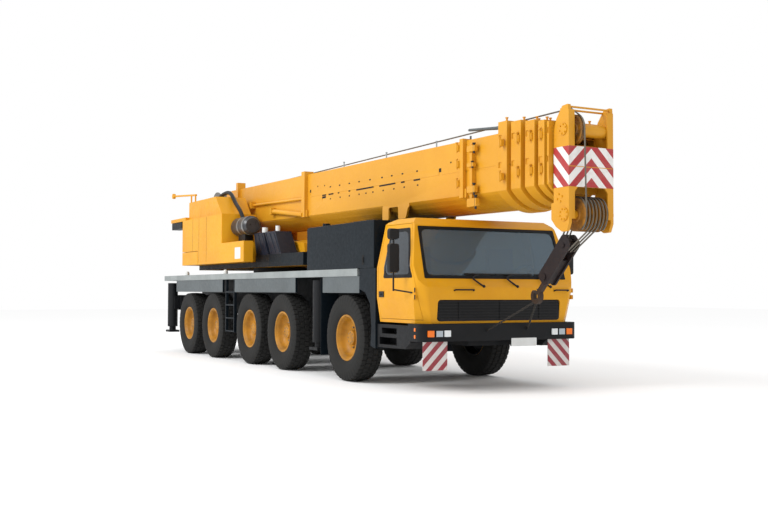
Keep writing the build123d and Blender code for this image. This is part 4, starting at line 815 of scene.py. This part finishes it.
piece("boom_dashes", marks, chassis_black, "boom", smooth=0)
pin = [(0, 0), (0, 0.011), (0.085, 0.011), (0.088, 0.018), (0.1, 0.018), (0.104, 0.012), (0.104, 0)]
pins = [turned(pin, (x, -0.44, boom_height(x, 0.004)), (0, 0, 1), 14) for x in (-1.93, -0.33, 1.27)]
piece("boom_top_pins", pins, galvanised, "boom")
print("boom marks", len(marks), "pins", len(pins))

# %% Blank number plate on the bumper
BUMPER_FACE = 2.37
plate_shape = rounded_box((0.38, 0.69), (0.45, 0.12), 0.012)
blank = plate(plate_shape, "x", BUMPER_FACE + 0.004, BUMPER_FACE + 0.007, 0.001)
piece("number_plate", [blank], white_film, "carrier", smooth=0)
holder = brick((BUMPER_FACE - 0.03, BUMPER_FACE + 0.0045), (0.16, 0.60), (0.635, 0.745), 0.003)
piece("number_plate_holder", [holder], black_plastic, "carrier", smooth=0)
print("plate at", BUMPER_FACE)

# %% Pockets in the boom's sides
# Each pocket is a near-black sheet flush with the boom's side, in the seal rubber finish: painted shade in
# place of the pocket's hollow.
POCKETS = ((1.42, 0.335, 0.066, 0.116), (-2.71, 0.47, 0.166, 0.071), (-3.32, 0.305, 0.051, 0.106))
pockets = [plate(rounded_box((x, boom_height(x, depth)), (width, height), 0.012), "y",
                 side * (BOOM_SIDE - 0.011), side * BOOM_SIDE, 0.001)
           for side, hand in SIDES for x, depth, width, height in POCKETS]
piece("boom_pockets", pockets, seal_rubber, "boom", smooth=0)
print("pockets", len(pockets))

# %% [markdown]
# ### Clamps and lugs
#
# Each collar has bolted blocks with an upright pin beside them, which ride on the collar's own
# section. On the boom's right side an upright bar carries lugs with dark pins for an extension arm.
# A small rubber latch closes the cowl below it.

# %% Collar clamps, extension lugs and the latch on the cowl
COLLARS = (("boom", 2.015, 0.530, (0.10, 0.34, 0.62)), ("boom", 3.17, 0.58, (0.16, 0.62)),
           ("boom_section_1", 3.46, 0.504, (0.13, 0.58)), ("boom_section_2", 3.71, 0.478, (0.13, 0.58)),
           ("boom_section_3", 3.89, 0.452, (0.13, 0.58)))
clamp_pin = [(-0.07, 0), (-0.07, 0.012), (0.066, 0.012), (0.066, 0.02), (0.082, 0.02), (0.082, 0)]
stud = [(0, 0), (0, 0.03), (0.012, 0.03), (0.012, 0.014), (0.045, 0.014), (0.047, 0.022), (0.06, 0.022),
        (0.064, 0)]
for number, (body, x, half, depths) in enumerate(COLLARS, start=1):
    parts = []
    for side, hand in SIDES:
        for z in boom_height(x, np.array(depths)):
            parts.append(brick((x - 0.035, x + 0.035), (side * (half - 0.03), side * (half + 0.02)),
                               (z - 0.05, z + 0.05), 0.01))
            parts.append(turned(clamp_pin, (x, side * (half + 0.022), z), (0, 0, 1), 10))
        if x > 3:
            top = boom_height(x, -0.135) if body == "boom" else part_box(body)[1][2] - 0.008
            parts += [turned(stud, (x, side * y, top), (0, 0, 1), 14) for y in (half - 0.10, 0.16)]
    piece(f"collar_clamps_{number}", parts, yellow_shade, body)

LUG_X = 2.36
lugs = [brick((LUG_X - 0.03, LUG_X + 0.03), (-0.535, -0.468), (2.62, 3.53), 0.008)]
dark_pins = []
for z, reach, tall in ((3.45, 0.10, 0.09), (3.22, 0.06, 0.06), (2.87, 0.10, 0.10), (2.68, 0.14, 0.12)):
    lug_side = rounded_box((LUG_X + reach / 2 - 0.02, z), (reach + 0.10, tall), 0.022)
    lugs.append(plate(lug_side, "y", -0.56, -0.50, 0.004))
    dark_pin = np.array([(-0.8, 0), (-0.8, 0.016), (0.7, 0.016), (0.7, 0.026), (0.85, 0.026), (0.85, 0)])
    dark_pins.append(turned(dark_pin * (tall, 1), (LUG_X + reach, -0.545, z), (0, 0, 1), 14))
piece("extension_lugs", lugs, yellow_shade, "boom")
piece("extension_pins", dark_pins, cast_iron, "boom")
latch = [plate(rounded_box((0.647, 1.90), (0.07, 0.15), 0.02), "y", -1.3735, -1.3765, 0.001),
         brick((0.63, 0.664), (-1.385, -1.376), (1.86, 1.94), 0.003)]
piece("cowl_latch", latch, seal_rubber, "carrier", smooth=0)
print("collars", len(COLLARS), "lugs", len(dark_pins))

# %% [markdown]
# ## Dressing the superstructure
#
# The housing's doors are told by their gaps, two bright steel bands hold the air cleaner, ribs stiffen
# the slanted covers, and a plain label sits on the low box. Two filler caps stand on the deck.

# %% Housing
HOUSING_SIDE = -1.3745
gaps = [brick((x - 0.004, x + 0.004), (HOUSING_SIDE, -1.3762), (low, 3.02), 0.0005)
        for x, low in ((-7.30, 2.04), (-6.788, 2.04), (-7.744, 2.31))]
piece("housing_door_gaps", gaps, seal_rubber, "superstructure", smooth=0)
label = brick((-5.0, -4.68), (HOUSING_SIDE, -1.3765), (2.06, 2.29), 0.0005)
piece("blank_label", [label], white_film, "superstructure", smooth=0)
band_section = [(-0.03, 0.1945), (-0.03, 0.199), (0.03, 0.199), (0.03, 0.1945), (-0.03, 0.1945)]
cleaner_bands = [turned(band_section, (x, CLEANER_Y, CLEANER_Z), (1, 0, 0), 64) for x in (-5.39, -5.10)]
piece("cleaner_bands", cleaner_bands, galvanised, "superstructure")
ribs = []
for (back_top, front_top), (back_foot, front_foot) in (((-4.97, -4.47), (-4.83, -4.18)),
                                                       ((-4.38, -3.85), (-4.08, -3.53))):
    for share in (0.12, 0.5, 0.88):
        top_x = back_top + share * (front_top - back_top)
        foot_x = back_foot + share * (front_foot - back_foot)
        ribs.append(bar([(top_x, -0.984, 2.55), (foot_x, -0.984, 2.17)], 0.009, 6, reference=(0, 1.0, 0)))
piece("cover_ribs", ribs, cover_black, "superstructure")
cap = [(0, 0), (0, 0.05), (0.05, 0.05), (0.085, 0.035), (0.095, 0)]
caps = [turned(cap, (x, -1.30, 1.769), (0, 0, 1), 24) for x in (-8.35, -5.75)]
piece("deck_filler_caps", caps, white_film, "carrier", smooth=40)
print("gaps", len(gaps), "ribs", len(ribs), "caps", len(caps))

# %% [markdown]
# ## The crane operator's cab
#
# It stands on the left of the boom. Its panes close the openings in the shell, one of them in the
# sliding door, and a seat with a raked back and two armrests with levers fill it.

# %% Upper cab
door_pane = plate(rounded_box((-4.945, 2.985), (0.686, 0.666), 0.03), "y", 1.343, 1.349, 0.001)
piece("upper_door_pane", [door_pane], window_glass, "upper_cab_door", smooth=0)
inner_corners = shrunk([(-5.30, 2.70), (-3.98, 2.70), (-4.23, 3.38), (-5.30, 3.38)], 0.002)
inner_pane = plate(rounded(inner_corners, 0.05), "y", 0.627, 0.633, 0.001)
sill, lintel = np.array((-3.8655, 0, 2.66)), np.array((-4.096, 0, 3.33))
rise_way = (lintel - sill) / np.linalg.norm(lintel - sill)
out_way = np.array((rise_way[2], 0, -rise_way[0]))
corners = rounded([(0.702, 0.002), (1.243, 0.002), (1.243, 0.70), (0.702, 0.70)], 0.04)
layers = [sill + (0, y, 0) + v * rise_way + depth * out_way for depth in (-0.026, -0.020) for y, v in corners]
count = len(corners)
screen_faces = grid_faces(2, count, close_columns=True) + [list(range(count)), list(range(count, 2 * count))]
front_pane = (np.array(layers), screen_faces)
piece("upper_cab_panes", [inner_pane, front_pane], window_glass, "superstructure", smooth=0)
seat_side = rounded([(-5.02, 2.42), (-4.50, 2.44), (-4.50, 2.55), (-4.90, 2.54), (-5.10, 3.16),
                     (-5.24, 3.16)], 0.045)
seat = plate(seat_side, "y", 0.76, 1.20, 0.03)
piece("operator_seat", [seat], seat_cloth, "superstructure", smooth=40)
ARMREST_Y = (0.71, 1.235)
rests = [brick((-4.98, -4.58), (y - 0.035, y + 0.035), (2.66, 2.71), 0.012) for y in ARMREST_Y]
rests += [brick((-4.84, -4.70), (y - 0.02, y + 0.02), (2.45, 2.665), 0.004) for y in ARMREST_Y]
rests += [bar([(-4.62, y, 2.70), (-4.615, y, 2.78), (-4.60, y, 2.82)], (0.01, 0.012, 0.02), 10)
          for y in ARMREST_Y]
rests.append(brick((-4.95, -4.60), (0.80, 1.16), (2.045, 2.42), 0.02))
piece("operator_controls", rests, dash_plastic, "superstructure", smooth=40)
print("upper cab fitted")

# %% [markdown]
# ## The cab
#
# Rubber seals frame the panes: each is a band between two loops, one just outside the opening in the
# shell and one rounded loop on the glass. The windscreen leans, so both loops are drawn in its own
# plane and then placed; the door's window follows the side, which leans in above the waist. A wiper
# is an arm bent over its knee and a straight blade, and the steering wheel is a turned ring.

# %% Seals round the windscreen and the doors' windows
foot, top = np.array((2.262, 0, 1.585)), np.array((1.985, 0, 2.372))
length = np.linalg.norm(top - foot)
lift = (top - foot) / length
outward = np.array((lift[2], 0, -lift[0]))
CAB_SIDE, WAIST, LEAN_IN = 1.375, 1.77, 0.2281


def band(outer, inner, rise):
    """A closed band between two loops of equal count; its section is a rectangle, rise to either side."""
    rise = np.array(rise)
    rows = np.stack([outer - rise, outer + rise, inner + rise * 1.1, inner - rise])
    return rows.reshape(-1, 3), grid_faces(4, len(outer), close_rows=True, close_columns=True)


def on_screen(y, up, rise=0.0):
    """Points given by y and the distance up the windscreen from its foot, rise ahead of its plane."""
    across = np.multiply.outer(np.array(y), np.array((0, 1, 0)))
    return foot + across + np.multiply.outer(np.array(up), lift) + rise * outward


def on_side(loop, side):
    """Points (x, z) laid on the cab's side: upright below the waist, above it the side leans in."""
    y = CAB_SIDE - np.maximum(0, loop[:, 1] - WAIST) * LEAN_IN
    return np.column_stack([loop[:, 0], side * y, loop[:, 1]])


screen = [(-1.222, 0.03), (1.222, 0.03), (1.187, length - 0.03), (-1.187, length - 0.03)]
outer, inner = (on_screen(*rounded(shrunk(screen, inset), radius).T)
                for inset, radius in ((-0.010, 0.02), (0.036, 0.10)))
seal = band(outer, inner, 0.005 * outward)
piece("windscreen_seal", [seal], seal_rubber, "carrier", smooth=50)
window = [(1.325, 1.62), (2.15, 1.62), (2.01, 2.0), (1.88, 2.325), (1.325, 2.325)]
for side, hand in SIDES:
    outer, inner = (on_side(rounded(shrunk(window, inset), radius), side)
                    for inset, radius in ((-0.008, 0.03), (0.04, 0.11)))
    seal = band(outer, inner, (0, 0.004, 0))
    piece(f"door_seal_{hand}", [seal], seal_rubber, f"door_{hand}", smooth=50)
    glasses = [plate(rounded_box((side * 1.55, (low + high) / 2), (0.145, high - low - 0.03), 0.035), "x",
                     1.894, 1.8995, 0.001) for low, high in ((1.68, 2.10), (2.15, 2.31))]
    piece(f"mirror_glass_{hand}", glasses, mirror_glass, f"door_{hand}", smooth=0)
    grip = [(1.27, side * 1.384, 1.375), (1.27, side * 1.398, 1.378), (1.215, side * 1.398, 1.378),
            (1.215, side * 1.384, 1.375)]
    handle = bar(rounded(grip, 0.01, 5, closed=False), 0.008, 8)
    piece(f"door_handle_{hand}", [handle], chassis_black, f"door_{hand}")
print("seals, mirror glass and handles ready")

# %% Wipers, steering wheel, markers and handles
WIPERS = ((-0.298, -0.489, -0.566, -0.059), (0.29, 0.104, -0.035, 0.617), (0.888, 0.695, 0.66, 1.11))
BLADE_UP = 0.085
pivot_profile = [(-0.012, 0), (-0.012, 0.022), (0.012, 0.022), (0.018, 0.012), (0.018, 0)]
wipers = []
for base, elbow, start, stop in WIPERS:
    pivot = (2.338, base, 1.494)
    knee = on_screen(elbow, 0.02, 0.05)
    middle = on_screen((start + stop) / 2 - 0.02, BLADE_UP, 0.03)
    blade = np.linspace(on_screen(start, BLADE_UP, 0.012), on_screen(stop, BLADE_UP, 0.012), 6)
    wipers.append(bar(rounded([pivot, knee, middle], 0.06, 5, closed=False), 0.012, 8))
    wipers.append(turned(pivot_profile, pivot, outward, 16))
    wipers.append(bar(blade, 0.014, 6))
piece("wipers", wipers, black_plastic, "carrier")

WHEEL_CENTRE, WHEEL_RADIUS, WHEEL_TILT = np.array((1.80, 0.76, 1.62)), 0.215, 1.05
tilt = np.array((np.cos(WHEEL_TILT), 0, np.sin(WHEEL_TILT)))
tube = np.linspace(0, 2 * np.pi, 9)
hoop = np.column_stack([0.015 * np.sin(tube), WHEEL_RADIUS + 0.015 * np.cos(tube)])
steering = [turned(hoop, WHEEL_CENTRE, np.cross((0, 1, 0), tilt), 32)]
for turn in np.radians((45, 135, 270)):
    spoke = np.cos(turn) * np.array((0, 1, 0)) + np.sin(turn) * tilt
    steering.append(bar([WHEEL_CENTRE, WHEEL_CENTRE + 0.21 * spoke], 0.013, 6))
steering.append(bar([WHEEL_CENTRE, WHEEL_CENTRE + (0.20, 0, -0.34)], 0.03, 12))
piece("steering_wheel", steering, dash_plastic, "carrier")

markers = [brick((2.21, 2.245), (side * 1.367, side * 1.3765), (z - 0.024, z + 0.024), 0.004)
           for side, hand in SIDES for z in (0.886, 0.789)]
piece("side_markers", markers, orange_lens, "carrier", smooth=0)
grips = []
for start, stop in ((-0.80, -0.48), (0.95, 1.20)):
    path = [(2.34, start, 1.433), (2.385, start, 1.445), (2.385, stop, 1.445), (2.34, stop, 1.433)]
    grips.append(bar(rounded(path, 0.03, 5, closed=False), 0.011, 10))
piece("front_grab_handles", grips, black_plastic, "carrier")
print("wiper parts", len(wipers), "markers", len(markers))

# %% [markdown]
# ## Hook and lashing
#
# Two short chains hold the hook down to the bumper while the crane drives. One link is a round bar
# carried round a stadium, and every second link is turned by a quarter.

# %% Chains
LINK, LINK_WIRE, LINK_END = 0.062, 0.0065, 0.0105


def chain(start, stop):
    """Links from start to stop: the centre line of each is a stadium, its tube a ring of six points."""
    way = (stop - start) / np.linalg.norm(stop - start)
    side = np.cross(way, (0, 0, 1))
    side /= np.linalg.norm(side)
    other = np.cross(way, side)
    pitch = LINK - 3 * LINK_WIRE
    angle = np.linspace(0, 2 * np.pi, 16, endpoint=False)
    round_end = np.column_stack([np.cos(angle), np.sin(angle)])
    line = LINK_END * round_end
    line[:, 0] += np.sign(np.cos(angle)) * (LINK / 2 - 0.014)
    ring = np.linspace(0, 2 * np.pi, 6, endpoint=False)
    flat = line[:, None] + LINK_WIRE * np.cos(ring)[None, :, None] * round_end[:, None]
    deep = np.broadcast_to(LINK_WIRE * np.sin(ring)[None], flat.shape[:2])
    made = []
    for number in range(int(np.linalg.norm(stop - start) / pitch)):
        a, b = (side, other) if number % 2 else (other, side)
        centre = start + way * pitch * (number + 0.5)
        points = centre + flat[..., 0:1] * way + flat[..., 1:2] * a + deep[..., None] * b
        made.append((points.reshape(-1, 3), grid_faces(16, 6, close_rows=True, close_columns=True)))
    return made


hook_bowl = np.array((3.199, 0.0, 1.300))
ends = np.array([(2.392, -0.27, 0.87), (2.392, 0.43, 0.89)])
links = [link for end in ends for link in chain(hook_bowl, end)]
piece("lashing_chains", links, cast_iron, "carrier", smooth=60)
eye = [(-0.03, 0), (-0.03, 0.03), (0.0, 0.03), (0.012, 0.018), (0.024, 0.018), (0.03, 0.01), (0.03, 0)]
eyes = [turned(eye, (BUMPER_FACE, end[1], end[2]), (1, 0, 0), 20) for end in ends]
piece("lashing_eyes", eyes, chassis_black, "carrier")
print("links", len(links))

# %% [markdown]
# ## Light and floor
#
# The photograph has an even, bright light from above and from the camera's side. A pale world gives
# the soft fill, one large area lamp gives the direction, and a weak one behind keeps the far side open.
# The Standard view transform shows the yellow as strong as its hex value; the default one pales it.

# %% Studio
bpy.context.scene.view_settings.view_transform = "Standard"
world = bpy.data.worlds.new("studio")
bpy.context.scene.world = world
world.use_nodes = True
world.node_tree.nodes["Background"].inputs["Color"].default_value = (1.0, 1.0, 1.0, 1.0)
world.node_tree.nodes["Background"].inputs["Strength"].default_value = 1.0
LAMP_SIZE, FLOOR_HALF, FLOOR_POINTS = 8, 60, 9


def lamp(name, place, target, power):
    """A square area lamp at a place, turned to a target."""
    made = stand(name, bpy.data.lights.new(name, "AREA"))
    made.data.size = LAMP_SIZE
    made.data.energy = power
    made.location = place
    made.rotation_euler = (Vector(target) - Vector(place)).to_track_quat("-Z", "Y").to_euler()


lamp("key", (0, -17, 13), (-1, 0, 1.5), 2400)
lamp("rear_fill", (-14, 8, 10), (0, 0, 2), 300)

line = np.linspace(-FLOOR_HALF, FLOOR_HALF, FLOOR_POINTS)
floor_x, floor_y = np.meshgrid(line, line, indexing="ij")
floor_points = np.column_stack([floor_x.ravel(), floor_y.ravel(), 0 * floor_x.ravel()])
floor = stand("floor", bpy.data.meshes.new("floor"))
floor.data.from_pydata(floor_points.tolist(), [], grid_faces(FLOOR_POINTS, FLOOR_POINTS))
floor.data.materials.append(
    worked_surface("pale_floor", "FCFCFC", "FAFAFA", 0.95, blot_mm=4000, bump_mm=500, bump=0.0, gleam=0.0))
print("floor and lamps in place")
